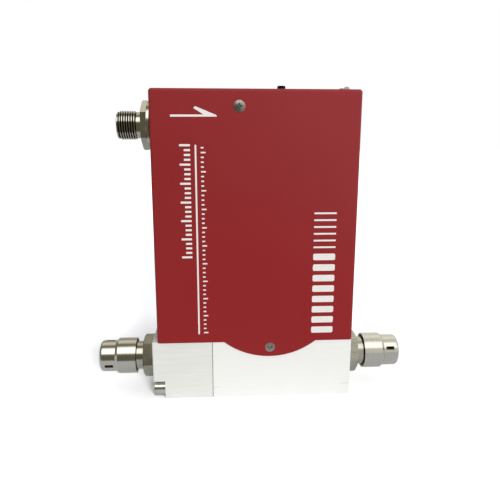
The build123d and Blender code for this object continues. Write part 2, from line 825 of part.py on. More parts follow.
with BuildPart() as coil:
    Cylinder(coil_diameter / 2, coil_length)
    Cylinder(sensor_tube_diameter / 2 + fit_gap / 2, 2 * coil_length, mode=Mode.SUBTRACT)
coil_offset = (coil_length + coil_gap) / 2
coil_planes = [facing(sensor_x + side * coil_offset, 0, tube_top, (1, 0, 0)) for side in (-1, 1)]
sensor_coils = set_out(coil.part, coil_planes)
save(sensor_coils, "sensor_coils")

with BuildPart() as sensor_case_front:
    with BuildSketch(Plane.XZ):
        with Locations((sensor_x, block_height + sensor_base_height + sensor_case_height / 2)):
            Rectangle(sensor_case_length, sensor_case_height)
    extrude(amount=sensor_base_depth / 2)
    fillet(sensor_case_front.faces().sort_by(Axis.Y)[0].edges(), sensor_case_round)
    with BuildSketch(Plane.XZ):
        with Locations((sensor_x, block_height + sensor_base_height + sensor_case_height / 2)):
            Rectangle(sensor_case_length - 2 * sensor_case_wall, sensor_case_height - 2 * sensor_case_wall)
    extrude(amount=sensor_base_depth / 2 - sensor_case_wall, mode=Mode.SUBTRACT)
    with Locations(facing(sensor_x, 0, block_height + sensor_base_height, (0, 0, 1))):
        with GridLocations(sensor_port_spacing, 0, 2, 1):
            Cylinder(sensor_tube_diameter / 2 + fit_gap, 4 * sensor_case_wall, mode=Mode.SUBTRACT)
save(sensor_case_front.part, "sensor_case_front")

with BuildPart() as sensor_case_back:
    mirror(sensor_case_front.part, about=Plane.XZ)
save(sensor_case_back.part, "sensor_case_back")

small_screw_length = sensor_base_height + small_engagement - fit_gap
small_screw = cap_screw(small_thread, small_screw_length, small_head, small_head_height, small_key)
sensor_screw_planes = [
    facing(sensor_x + side * sensor_screw_spacing / 2, 0, block_height + sensor_base_height, (0, 0, 1))
    for side in (-1, 1)
]
save(set_out(small_screw, sensor_screw_planes), "sensor_screws")

# Thin lead strip from the sensor case to the control board
flex_low = block_height + sensor_base_height + flex_exit_height
flex_high = flex_low + flex_rise
flex_start_y = sensor_base_depth / 2
with BuildPart() as sensor_flex:
    with BuildSketch(Plane.YZ.offset(sensor_x - flex_width / 2)):
        with BuildLine():
            FilletPolyline(
                (flex_start_y, flex_low), (flex_start_y + flex_reach, flex_low),
                (flex_start_y + flex_reach, flex_high), (control_front, flex_high), radius=flex_bend,
            )
        trace(line_width=flex_sheet)
    extrude(amount=flex_width)
save(sensor_flex.part, "sensor_flex")

# Valve seat: pressed plug with an orifice and a raised land under the diaphragm
with BuildPart() as valve_seat:
    with BuildSketch(valve_plane):
        with BuildLine():
            Polyline(
                (seat_orifice / 2, valve_chamber_floor - seat_depth),
                (seat_diameter / 2, valve_chamber_floor - seat_depth),
                (seat_diameter / 2, valve_chamber_floor),
                (seat_land / 2, diaphragm_level - seat_lift),
                (seat_orifice / 2, diaphragm_level - seat_lift), close=True,
            )
        make_face()
    revolve(axis=valve_axis)
save(valve_seat.part, "valve_seat")

with BuildPart() as valve_diaphragm:
    with BuildSketch(Plane.XY.offset(diaphragm_level)):
        with Locations((valve_x, 0)):
            Circle(diaphragm_diameter / 2)
    extrude(amount=diaphragm_thickness)
save(valve_diaphragm.part, "valve_diaphragm")

valve_seal = ring_seal(valve_ring_outer, valve_ring_section)
save(set_out(valve_seal, [facing(valve_x, 0, block_height, (0, 0, 1))]), "valve_seal")

# Bonnet: flange, spigot that holds the diaphragm's rim, and the boss for the actuator
diaphragm_top = diaphragm_level + diaphragm_thickness
with BuildPart() as valve_bonnet:
    with BuildSketch(Plane.XY.offset(block_height)):
        with Locations((valve_x, 0)):
            RectangleRounded(bonnet_width, bonnet_depth, bonnet_corner)
    extrude(amount=bonnet_height)
    with BuildSketch(valve_plane):
        with BuildLine():
            Polyline(
                (0, diaphragm_top), (diaphragm_diameter / 2, diaphragm_top),
                (diaphragm_diameter / 2, block_height), (bonnet_boss / 2, block_height),
                (bonnet_boss / 2, bonnet_top + bonnet_boss_height), (0, bonnet_top + bonnet_boss_height),
                close=True,
            )
        make_face()
    revolve(axis=valve_axis)
    with BuildSketch(Plane.XY.offset(diaphragm_top)):
        with Locations((valve_x, 0)):
            Circle(bonnet_bore / 2)
    extrude(amount=bonnet_top + bonnet_boss_height - diaphragm_top, mode=Mode.SUBTRACT)
    with Locations(facing(valve_x, 0, bonnet_top, (0, 0, 1))):
        with GridLocations(valve_screw_spacing, valve_screw_spacing_y, 2, 2):
            Cylinder(small_thread / 2 + screw_hole_clearance, 3 * bonnet_height, mode=Mode.SUBTRACT)
save(valve_bonnet.part, "valve_bonnet")

valve_screw_planes = [
    facing(valve_x + x * valve_screw_spacing / 2, y * valve_screw_spacing_y / 2, bonnet_top, (0, 0, 1))
    for x in (-1, 1)
    for y in (-1, 1)
]
save(set_out(small_screw, valve_screw_planes), "valve_screws")

# Plunger, thrust ball and stack cap carry the actuator's push to the diaphragm
plunger_top = diaphragm_top + plunger_height
ball_middle = plunger_top - ball_seat + ball_diameter / 2
with BuildPart() as valve_plunger:
    with Locations((valve_x, 0, diaphragm_top)):
        Cylinder(plunger_foot / 2, plunger_foot_height, align=(Align.CENTER, Align.CENTER, Align.MIN))
        Cylinder(plunger_stem / 2, plunger_height, align=(Align.CENTER, Align.CENTER, Align.MIN))
    with Locations((valve_x, 0, ball_middle)):
        Sphere(ball_diameter / 2, mode=Mode.SUBTRACT)
save(valve_plunger.part, "valve_plunger")

with BuildPart() as thrust_ball:
    with Locations((valve_x, 0, ball_middle)):
        Sphere(ball_diameter / 2)
save(thrust_ball.part, "thrust_ball")

stack_bottom = ball_middle + ball_diameter / 2 - ball_seat + stack_cap_height
stack_cap_radius = bonnet_bore / 2 - stack_cap_clearance
with BuildPart() as stack_cap:
    with Locations((valve_x, 0, stack_bottom)):
        Cylinder(stack_cap_radius, stack_cap_height, align=(Align.CENTER, Align.CENTER, Align.MAX))
    with Locations((valve_x, 0, ball_middle)):
        Sphere(ball_diameter / 2, mode=Mode.SUBTRACT)
save(stack_cap.part, "stack_cap")

stack_top = stack_bottom + stack_height
with BuildPart() as piezo_stack:
    with BuildSketch(Plane.XY.offset(stack_bottom)):
        with Locations((valve_x, 0)):
            RectangleRounded(stack_width, stack_width, stack_corner)
    extrude(amount=stack_height)
save(piezo_stack.part, "piezo_stack")

with BuildPart() as actuator_housing:
    with BuildSketch(Plane.XY.offset(bonnet_top)):
        with Locations((valve_x, 0)):
            Circle(actuator_diameter / 2)
            Circle(bonnet_boss / 2 + thread_clearance, mode=Mode.SUBTRACT)
    extrude(amount=bonnet_boss_height)
    with BuildSketch(Plane.XY.offset(bonnet_top + bonnet_boss_height)):
        with Locations((valve_x, 0)):
            Circle(actuator_diameter / 2)
            Circle(actuator_bore / 2, mode=Mode.SUBTRACT)
    extrude(amount=actuator_height - bonnet_boss_height - actuator_head)
    with BuildSketch(Plane.XY.offset(housing_top - actuator_head)):
        with Locations((valve_x, 0)):
            Circle(actuator_diameter / 2)
            Circle(adjuster_diameter / 2 + thread_clearance, mode=Mode.SUBTRACT)
    extrude(amount=actuator_head)
    chamfer(actuator_housing.edges().filter_by(GeomType.CIRCLE).sort_by(Axis.Z)[-1], actuator_edge)
save(actuator_housing.part, "actuator_housing")

adjuster_top = housing_top + adjuster_nut_height + adjuster_end
with BuildPart() as stack_adjuster:
    with BuildSketch(Plane.XY.offset(stack_top)):
        with Locations((valve_x, 0)):
            Circle(adjuster_diameter / 2)
    extrude(amount=adjuster_top - stack_top)
    with Locations((valve_x, 0, adjuster_top)):
        Box(2 * adjuster_diameter, adjuster_slot_width, 2 * adjuster_slot_depth, mode=Mode.SUBTRACT)
save(stack_adjuster.part, "stack_adjuster")

lock_nut = hexagon_nut(adjuster_nut_width, adjuster_nut_height, adjuster_diameter + 2 * thread_clearance)
save(set_out(lock_nut, [facing(valve_x, 0, housing_top, (0, 0, 1))]), "adjuster_nut")

# Two insulated leads from the stack out through the housing's wall to the control board
lead_level = bonnet_top + bonnet_boss_height + lead_exit_height
lead_start_x = valve_x - actuator_diameter / 2 - fit_gap
lead_turn_x = (lead_start_x + board_right) / 2
lead_end_y = control_front - lead_width / 2
with BuildPart() as actuator_leads:
    with BuildSketch(Plane.XY.offset(lead_level)):
        with BuildLine():
            FilletPolyline(
                (lead_start_x, 0), (lead_turn_x, 0), (lead_turn_x, lead_end_y),
                (board_right - lead_landing, lead_end_y), radius=lead_bend,
            )
        trace(line_width=lead_width)
    extrude(amount=lead_height)
save(actuator_leads.part, "actuator_leads")

# Chassis: back sheet, shelf under the panel board, two tapped lips for the cover and two feet
plate_middle_y = (chassis_back + chassis_front) / 2
shelf_middle_z = shelf_height - chassis_sheet / 2
lip_y = -plate_middle_y
foot_middle_z = block_height + chassis_sheet / 2
plate_bottom = block_height + chassis_lift
lip_x = upper_screw_x - lip_half_width
lip_base = shelf_height - shelf_flange
with BuildPart() as chassis:
    with BuildSketch(Plane.XZ.offset(-chassis_back)):
        with BuildLine():
            Polyline(
                (chassis_left, plate_bottom), (chassis_right, plate_bottom),
                (chassis_right, shelf_height - chassis_sheet - chassis_bend),
                (chassis_step_x, shelf_height - chassis_sheet - chassis_bend),
                (chassis_step_x, chassis_step_height), (chassis_left, chassis_step_height), close=True,
            )
        make_face()
    extrude(amount=chassis_sheet)
    with BuildSketch(Plane.YZ.offset(chassis_step_x)):
        with BuildLine():
            FilletPolyline(
                (plate_middle_y, shelf_height - shelf_flange), (plate_middle_y, shelf_middle_z),
                (-shelf_front, shelf_middle_z), radius=chassis_bend,
            )
        trace(line_width=chassis_sheet)
    extrude(amount=chassis_right - chassis_step_x)
    with BuildSketch(Plane.XZ.offset(-chassis_back)):
        with Locations((upper_screw_x, shelf_height)):
            Rectangle(2 * (lip_half_width + lip_notch_gap), 4 * chassis_bend)
    extrude(amount=chassis_sheet + chassis_bend, mode=Mode.SUBTRACT)
    with BuildSketch(Plane.XZ.offset(-chassis_back)):
        with Locations((upper_screw_x, (lip_top + lip_base) / 2)):
            Rectangle(2 * lip_half_width, lip_top - lip_base)
    extrude(amount=chassis_sheet)
    with BuildSketch(Plane.YZ.offset(lip_x)):
        with BuildLine():
            FilletPolyline(
                (-shelf_front + lip_notch_gap, shelf_middle_z), (lip_y, shelf_middle_z), (lip_y, lip_top),
                radius=chassis_bend,
            )
        trace(line_width=chassis_sheet)
    extrude(amount=2 * lip_half_width)
    for foot_start, foot_end in (inlet_foot, middle_foot):
        with BuildSketch(Plane.YZ.offset(foot_start)):
            with BuildLine():
                FilletPolyline(
                    (plate_middle_y, block_height + foot_flange), (plate_middle_y, foot_middle_z),
                    (chassis_back - foot_reach, foot_middle_z), radius=chassis_bend,
                )
            trace(line_width=chassis_sheet)
        extrude(amount=foot_end - foot_start)
    foot_screw_planes = [
        facing(x, foot_screw_y, block_height + chassis_sheet, (0, 0, 1))
        for x in (foot_mid - foot_screw_offset, foot_mid + foot_screw_offset, sum(middle_foot) / 2)
    ]
    with Locations(*foot_screw_planes):
        Cylinder(post_thread / 2 + screw_hole_clearance, 4 * chassis_sheet, mode=Mode.SUBTRACT)
    with Locations(facing(upper_screw_x, 0, upper_screw_height, (0, -1, 0))):
        Cylinder(cover_thread / 2 + thread_clearance, 2 * block_depth, mode=Mode.SUBTRACT)
    with Locations(*[facing(x, chassis_front, z, (0, -1, 0)) for x, z in post_places]):
        Cylinder(post_thread / 2 + thread_clearance, 4 * chassis_sheet, mode=Mode.SUBTRACT)
    with BuildSketch(Plane.XY.offset(shelf_height)):
        with Locations(*boss_places):
            Circle(panel_boss / 2)
    extrude(amount=panel_boss_height)
    with BuildSketch(Plane.XY.offset(shelf_height + panel_boss_height)):
        with Locations(*boss_places):
            Circle(panel_screw_thread / 2 + thread_clearance)
    extrude(amount=-4 * chassis_sheet, mode=Mode.SUBTRACT)
    with BuildSketch(Plane.XY.offset(shelf_height)):
        with Locations((header_x, header_y)):
            Rectangle(header_length, header_depth)
    extrude(amount=-2 * chassis_sheet, mode=Mode.SUBTRACT)
save(chassis.part, "chassis")

foot_screw = pan_screw(post_thread, small_engagement, board_screw_head, board_screw_height)
save(set_out(foot_screw, foot_screw_planes), "chassis_screws")

# Control board on short spacers, power board in front of it on hexagonal posts
with BuildPart() as board_spacer:
    Cylinder(post_width / 2, spacer_height, align=(Align.CENTER, Align.CENTER, Align.MIN))
    Cylinder(post_thread / 2 + thread_clearance, 4 * spacer_height, mode=Mode.SUBTRACT)
spacer_planes = [facing(x, chassis_front, z, (0, -1, 0)) for x, z in post_places]
save(set_out(board_spacer.part, spacer_planes), "board_spacers")


def board_blank(back, top):
    """Rectangular board with a hole for each post, its back face and its top at the given places."""
    with BuildPart() as board:
        with BuildSketch(Plane.XZ.offset(-back)):
            with Locations(((board_left + board_right) / 2, (board_bottom + top) / 2)):
                RectangleRounded(board_right - board_left, top - board_bottom, board_corner)
            with Locations(*post_places):
                Circle(post_thread / 2 + screw_hole_clearance, mode=Mode.SUBTRACT)
        extrude(amount=board_sheet)
    return board.part


control_board = board_blank(control_back, control_top)
save(control_board, "control_board")
power_board = board_blank(power_back, board_top)
save(power_board, "power_board")

stud_length = board_sheet + spacer_height + chassis_sheet
with BuildPart() as board_post:
    with BuildSketch():
        RegularPolygon(post_width / 2, 6, major_radius=False)
    extrude(amount=board_spacing)
    Cylinder(post_thread / 2, stud_length, align=(Align.CENTER, Align.CENTER, Align.MAX))
    with Locations((0, 0, board_spacing)):
        Hole(post_thread / 2 + thread_clearance, post_thread_depth)
post_planes = [facing(x, control_front, z, (0, -1, 0)) for x, z in post_places]
save(set_out(board_post.part, post_planes), "board_posts")

board_screw = pan_screw(post_thread, board_sheet + post_engagement, board_screw_head, board_screw_height)
board_screw_planes = [facing(x, power_front, z, (0, -1, 0)) for x, z in post_places]
save(set_out(board_screw, board_screw_planes), "board_screws")

processor_x = board_left + processor_place[0]
processor_z = board_bottom + processor_place[1]
with BuildPart() as processor_chip:
    with BuildSketch(Plane.XZ.offset(-control_front)):
        with Locations((processor_x, processor_z)):
            Rectangle(processor_width, processor_width)
    extrude(amount=processor_height, taper=processor_draft)
save(processor_chip.part, "processor_chip")

with BuildPart() as capacitor:
    Cylinder(capacitor_diameter / 2, capacitor_height, align=(Align.CENTER, Align.CENTER, Align.MIN))
    chamfer(capacitor.edges().group_by(Axis.Z)[-1], capacitor_edge)
capacitor_x = board_left + capacitor_place[0]
capacitor_z = board_top - capacitor_place[1]
capacitor_pitch = capacitor_diameter + capacitor_gap
capacitor_planes = [
    facing(capacitor_x + step * capacitor_pitch, power_back, capacitor_z, (0, 1, 0))
    for step in range(capacitor_count)
]
save(set_out(capacitor.part, capacitor_planes), "capacitors")

link_x = board_left + link_place[0]
link_z = board_bottom + link_place[1]
with BuildPart() as board_link:
    with BuildSketch(Plane.XZ.offset(-control_front)):
        with Locations((link_x, link_z)):
            Rectangle(link_length, link_depth)
    extrude(amount=board_spacing)
save(board_link.part, "board_link")

# Panel board: lamp soldered on, header down through the shelf, and the zero switch
pin_hole = header_pin + 2 * header_pin_clearance
with BuildPart() as panel_board:
    with BuildSketch(Plane.XY.offset(panel_bottom)):
        with Locations(((panel_left + panel_right) / 2, (panel_back_reach - panel_front_reach) / 2)):
            Rectangle(panel_right - panel_left, panel_back_reach + panel_front_reach)
        with Locations(*boss_places):
            Circle(panel_screw_thread / 2 + screw_hole_clearance, mode=Mode.SUBTRACT)
        with Locations((header_x, header_y)):
            with GridLocations(header_pitch, 0, header_pin_count, 1):
                Rectangle(pin_hole, pin_hole, mode=Mode.SUBTRACT)
    extrude(amount=panel_sheet)
    with BuildSketch(Plane.XY.offset(panel_top)):
        with Locations((lens_x - lamp_inset, 0)):
            Rectangle(lamp_width, lamp_width)
    extrude(amount=lamp_height)
save(panel_board.part, "panel_board")

with BuildPart() as panel_header:
    with BuildSketch(Plane.XY.offset(header_start)):
        with Locations((header_x, header_y)):
            Rectangle(header_length, header_depth)
    extrude(amount=-header_height)
    with BuildSketch(Plane.XY.offset(header_start)):
        with Locations((header_x, header_y)):
            with GridLocations(header_pitch, 0, header_pin_count, 1):
                Rectangle(header_pin, header_pin)
    extrude(amount=panel_top + header_tip - header_start)
save(panel_header.part, "panel_header")

panel_screw_length = panel_sheet + panel_boss_height + chassis_sheet
panel_screw = pan_screw(panel_screw_thread, panel_screw_length, panel_screw_head, panel_screw_height)
save(set_out(panel_screw, [facing(x, y, panel_top, (0, 0, 1)) for x, y in boss_places]), "panel_screws")

# Zero switch: base with a well, cover plate, snap dome, and the button that stands through the cover
well_radius = button_flange / 2 + dome_clearance
plunger_radius = button_diameter / 2
button_flange_top = switch_top - switch_plate_sheet - button_clearance
button_bottom = button_flange_top - button_flange_height
dome_rise = button_travel + dome_rest
dome_foot = button_bottom - dome_rise
with BuildPart() as switch_base:
    with BuildSketch(Plane.XY.offset(panel_top)):
        with Locations((button_x, 0)):
            Rectangle(switch_width, switch_width)
    extrude(amount=switch_height - switch_plate_sheet)
    with BuildSketch(Plane.XY.offset(dome_foot)):
        with Locations((button_x, 0)):
            Circle(well_radius)
    extrude(amount=switch_height, mode=Mode.SUBTRACT)
save(switch_base.part, "switch_base")

with BuildPart() as switch_plate:
    with BuildSketch(Plane.XY.offset(switch_top - switch_plate_sheet)):
        with Locations((button_x, 0)):
            Rectangle(switch_width, switch_width)
            Circle(plunger_radius + button_clearance, mode=Mode.SUBTRACT)
    extrude(amount=switch_plate_sheet)
save(switch_plate.part, "switch_plate")

with BuildPart() as zero_button:
    with BuildSketch(Plane.XY.offset(button_bottom)):
        with Locations((button_x, 0)):
            Circle(button_flange / 2)
    extrude(amount=button_flange_height)
    with BuildSketch(Plane.XY.offset(button_flange_top)):
        with Locations((button_x, 0)):
            Circle(plunger_radius)
    extrude(amount=cover_top + button_above_cover - button_flange_top)
    chamfer(zero_button.edges().filter_by(GeomType.CIRCLE).sort_by(Axis.Z)[-1], button_edge)
save(zero_button.part, "zero_button")

dome_crown = plunger_radius / 2
with BuildPart() as switch_dome:
    with BuildSketch(Plane(origin=(button_x, 0, dome_foot), x_dir=(1, 0, 0), z_dir=(0, -1, 0))):
        with BuildLine():
            Polyline(
                (0, dome_rise), (dome_crown, dome_rise), (button_flange / 2, dome_sheet),
                (button_flange / 2, 0), (button_flange / 2 - dome_sheet, 0),
                (dome_crown, dome_rise - dome_sheet), (0, dome_rise - dome_sheet), close=True,
            )
        make_face()
    revolve(axis=Axis((button_x, 0, 0), (0, 0, 1)))
save(switch_dome.part, "switch_dome")

# Lens: clear moulding with an oval foot on the cover, a dome over the lamp and a stem down to it
lens_foot_right = lens_x + lens_diameter / 2
lens_foot_middle = (lens_foot_left + lens_foot_right) / 2
lens_dome_z = cover_top + lens_above_cover - lens_diameter / 2
with BuildPart() as status_lens:
    with BuildSketch(Plane.XY.offset(cover_top)):
        with Locations((lens_foot_middle, 0)):
            SlotOverall(lens_foot_right - lens_foot_left, lens_diameter)
    extrude(amount=lens_foot_height)
    fillet(status_lens.edges().group_by(Axis.Z)[-1], lens_foot_round)
    with BuildSketch(Plane.XY.offset(panel_top + lamp_height + lens_stem_gap)):
        with Locations((lens_x, 0)):
            Circle(lens_stem / 2)
    extrude(amount=cover_top - panel_top - lamp_height)
    with BuildSketch(Plane.XY.offset(cover_top)):
        with Locations((lens_x, 0)):
            Circle(lens_diameter / 2)
    extrude(amount=lens_dome_z - cover_top)
    with Locations((lens_x, 0, lens_dome_z)):
        Sphere(lens_diameter / 2)
save(status_lens.part, "status_lens")

# Round connector: distances run outwards from the cover's left wall
collar_start = gasket_section
hex_start = collar_start + connector_collar_length
neck_start = hex_start + connector_hex_length
shell_thread_start = neck_start + connector_neck_length
shell_end = shell_thread_start + connector_thread_length + connector_lead_in
shell_bore = connector_thread / 2 - connector_wall
connector_neck = connector_thread - 2 * connector_undercut
mount_start = -cover_sheet - mount_thread_length
with BuildPart() as connector_shell:
    with BuildSketch(Plane.YZ.offset(cover_left - hex_start)):
        with Locations((0, connector_height)):
            RegularPolygon(connector_hex / 2, 6, major_radius=False, rotation=30)
    extrude(amount=-connector_hex_length)
    hex_radius = connector_hex / 3 ** 0.5
    with BuildSketch(connector_plane):
        with BuildLine():
            Polyline(
                (hex_start, 0), (hex_start, hex_radius - connector_hex_back_cut),
                (hex_start + connector_hex_back_cut, hex_radius),
                (neck_start - connector_hex_front_cut / 2, hex_radius),
                (neck_start, hex_radius - connector_hex_front_cut), (neck_start, 0), close=True,
            )
        make_face()
    revolve(axis=connector_axis, mode=Mode.INTERSECT)
    with BuildSketch(connector_plane):
        with BuildLine():
            Polyline(
                (mount_start, 0), (mount_start, mount_thread / 2), (collar_start, mount_thread / 2),
                (collar_start, connector_collar / 2), (hex_start, connector_collar / 2),
                (hex_start, connector_neck / 2),
                (shell_thread_start - connector_thread_run, connector_neck / 2),
                (shell_thread_start, connector_thread / 2),
                (shell_end - connector_lead_in, connector_thread / 2),
                (shell_end, connector_thread / 2 - connector_lead_in / 2), (shell_end, 0), close=True,
            )
        make_face()
    revolve(axis=connector_axis)
    with BuildSketch(Plane.YZ.offset(cover_left - shell_end)):
        with Locations((0, connector_height)):
            Circle(shell_bore)
    extrude(amount=shell_end - mount_start, mode=Mode.SUBTRACT)
save(connector_shell.part, "connector_shell")

gasket_radius = connector_collar / 2 - gasket_inset
with BuildPart() as connector_gasket:
    with BuildSketch(connector_plane):
        with BuildLine():
            Polyline(
                (0, mount_thread / 2 + fit_gap), (0, gasket_radius),
                (gasket_section, gasket_radius), (gasket_section, mount_thread / 2 + fit_gap), close=True,
            )
        make_face()
    revolve(axis=connector_axis)
save(connector_gasket.part, "connector_gasket")

# Insert: plastic core with a keyway, pressed in the shell, and five pins that stand in the open well
insert_face = shell_end - insert_depth
insert_back = insert_face - insert_length
pin_places = [(0, 0)] + [
    (side * pin_circle / 8 ** 0.5, rise * pin_circle / 8 ** 0.5) for side in (-1, 1) for rise in (-1, 1)
]
with BuildPart() as connector_insert:
    with BuildSketch(Plane.YZ.offset(cover_left - insert_face)):
        with Locations((0, connector_height)):
            Circle(shell_bore - fit_gap / 2)
            with Locations(*pin_places):
                Circle(pin_diameter / 2, mode=Mode.SUBTRACT)
    extrude(amount=insert_length)
    with BuildSketch(Plane.YZ.offset(cover_left - insert_face)):
        with Locations((0, connector_height + shell_bore - key_height / 2 - fit_gap)):
            Rectangle(key_width, key_height)
    extrude(amount=key_setback - pin_length)
save(connector_insert.part, "connector_insert")

with BuildPart() as connector_pins:
    with BuildSketch(Plane.YZ.offset(cover_left - insert_face - pin_length)):
        with Locations((0, connector_height)):
            with Locations(*pin_places):
                Circle(pin_diameter / 2)
    extrude(amount=pin_length + insert_length + pin_tail)
    chamfer(connector_pins.edges().group_by(Axis.X)[0], pin_point)
save(connector_pins.part, "connector_pins")

shell_nut = hexagon_nut(nut_width, nut_height, mount_thread + 2 * thread_clearance)
nut_plane = facing(cover_left + cover_sheet, 0, connector_height, (1, 0, 0))
save(set_out(shell_nut, [nut_plane]), "connector_nut")

# Flat lead from the pins' tails across to the top of the control board
ribbon_start = cover_left - insert_back + pin_tail
ribbon_turn_x = ribbon_start + ribbon_reach
ribbon_end_y = control_front - ribbon_sheet / 2
with BuildPart() as connector_ribbon:
    with BuildSketch(Plane.XY.offset(connector_height - ribbon_width / 2)):
        with BuildLine():
            FilletPolyline(
                (ribbon_start, 0), (ribbon_turn_x, 0), (ribbon_turn_x, ribbon_end_y),
                (ribbon_turn_x + ribbon_landing, ribbon_end_y), radius=ribbon_bend,
            )
        trace(line_width=ribbon_sheet)
    extrude(amount=ribbon_width)
save(connector_ribbon.part, "connector_ribbon")

# Cover: painted sheet, rounded bends, arc tab down over the block front and back
with BuildPart() as cover:
    with BuildSketch(Plane.XY.offset(block_height)):
        with Locations(((cover_left + cover_right) / 2, 0)):
            Rectangle(cover_length, cover_depth)
    extrude(amount=cover_height)
    fillet(cover.edges().filter_by(Axis.Z) + cover.faces().sort_by(Axis.Z)[-1].edges(), cover_bend)
    offset(amount=-cover_sheet, openings=cover.faces().sort_by(Axis.Z)[0])
    for outer_face, inward in ((cover_front, -1), (-cover_front, 1)):
        with BuildSketch(Plane.XZ.offset(-outer_face)):
            with Locations((tab_x, tab_centre_z)):
                Circle(tab_radius)
            with Locations((tab_x, block_height - tab_drop)):
                Rectangle(2 * tab_width, 2 * tab_drop, mode=Mode.INTERSECT)
        extrude(amount=inward * cover_sheet)
    with Locations(*upper_screw_planes):
        Cylinder(cover_thread / 2 + screw_hole_clearance, 4 * cover_sheet, mode=Mode.SUBTRACT)
    with Locations(*tab_screw_planes):
        CounterSinkHole(
            cover_thread / 2 + thread_clearance, lower_screw_head / 2 + fit_gap, depth=2 * cover_sheet,
            counter_sink_angle=90,
        )
    with BuildSketch(Plane.XY.offset(cover_top)):
        with Locations((button_x, 0)):
            Circle(button_hole / 2)
        with Locations((lens_x, 0)):
            Circle(lens_stem / 2 + lens_hole_clearance / 2)
    extrude(amount=-2 * cover_sheet, mode=Mode.SUBTRACT)
    with BuildSketch(Plane.YZ.offset(cover_left)):
        with Locations((0, connector_height)):
            Circle(mount_thread / 2 + fit_gap)
    extrude(amount=2 * cover_sheet, mode=Mode.SUBTRACT)
save(cover.part, "cover")

# Cover screws: domed heads above, sunk heads in the tabs, both with a cross recess
head_rim = upper_head_height * upper_rim_ratio
head_shoulder = upper_head_height * upper_shoulder_ratio
with BuildPart() as upper_screw:
    Cylinder(cover_thread / 2, upper_screw_length, align=(Align.CENTER, Align.CENTER, Align.MAX))
    with BuildSketch(Plane.XZ):
        with BuildLine():
            Line((0, 0), (upper_screw_head / 2, 0))
            Line((upper_screw_head / 2, 0), (upper_screw_head / 2, head_rim))
            ThreePointArc(
                (upper_screw_head / 2, head_rim), (upper_screw_head / 4, head_shoulder),
                (0, upper_head_height),
            )
            Line((0, upper_head_height), (0, 0))
        make_face()
    revolve(axis=Axis.Z)
    add(cross_recess(upper_head_height), mode=Mode.SUBTRACT)
save(set_out(upper_screw.part, upper_screw_planes), "upper_cover_screws")

sink_depth = (lower_screw_head - cover_thread) / 2
with BuildPart() as lower_screw:
    Cylinder(cover_thread / 2, tab_screw_length, align=(Align.CENTER, Align.CENTER, Align.MAX))
    with BuildSketch(Plane.XZ):
        with BuildLine():
            Polyline(
                (0, 0), (lower_screw_head / 2, 0), (cover_thread / 2, -sink_depth), (0, -sink_depth),
                close=True,
            )
        make_face()
    revolve(axis=Axis.Z)
    add(cross_recess(0), mode=Mode.SUBTRACT)
save(set_out(lower_screw.part, tab_screw_planes), "lower_cover_screws")
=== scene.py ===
import logging
import math
from dataclasses import dataclass
from enum import Enum
from typing import Sequence, Union

import bpy
from mathutils import Matrix, Vector


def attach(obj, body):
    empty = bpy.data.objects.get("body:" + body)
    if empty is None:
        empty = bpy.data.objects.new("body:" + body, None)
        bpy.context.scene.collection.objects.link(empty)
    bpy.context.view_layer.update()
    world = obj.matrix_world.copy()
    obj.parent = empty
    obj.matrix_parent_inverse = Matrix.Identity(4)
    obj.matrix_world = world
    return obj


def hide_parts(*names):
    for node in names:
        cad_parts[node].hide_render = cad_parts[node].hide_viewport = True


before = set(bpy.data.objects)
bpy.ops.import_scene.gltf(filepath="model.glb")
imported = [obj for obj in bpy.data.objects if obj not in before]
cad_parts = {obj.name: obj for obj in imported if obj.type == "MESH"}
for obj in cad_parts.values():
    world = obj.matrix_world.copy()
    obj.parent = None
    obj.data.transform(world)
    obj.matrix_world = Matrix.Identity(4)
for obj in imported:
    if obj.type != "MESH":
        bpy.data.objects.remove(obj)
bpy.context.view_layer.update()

MM = 0.001
LOG = logging.getLogger("flow_controller")

Colour = tuple[float, float, float, float]


def tone(code: str, alpha: float = 1.0) -> Colour:
    """Turns a hexadecimal screen colour into linear light.

    Args:
        code: six hexadecimal digits, such as "8F2A2C".
        alpha: opacity that goes with the colour.

    Returns:
        The colour as four numbers for a shader socket.
    """
    parts = [int(code[i:i + 2], 16) / 255 for i in (0, 2, 4)]
    light = [p / 12.92 if p <= 0.04045 else ((p + 0.055) / 1.055) ** 2.4 for p in parts]
    return (light[0], light[1], light[2], alpha)


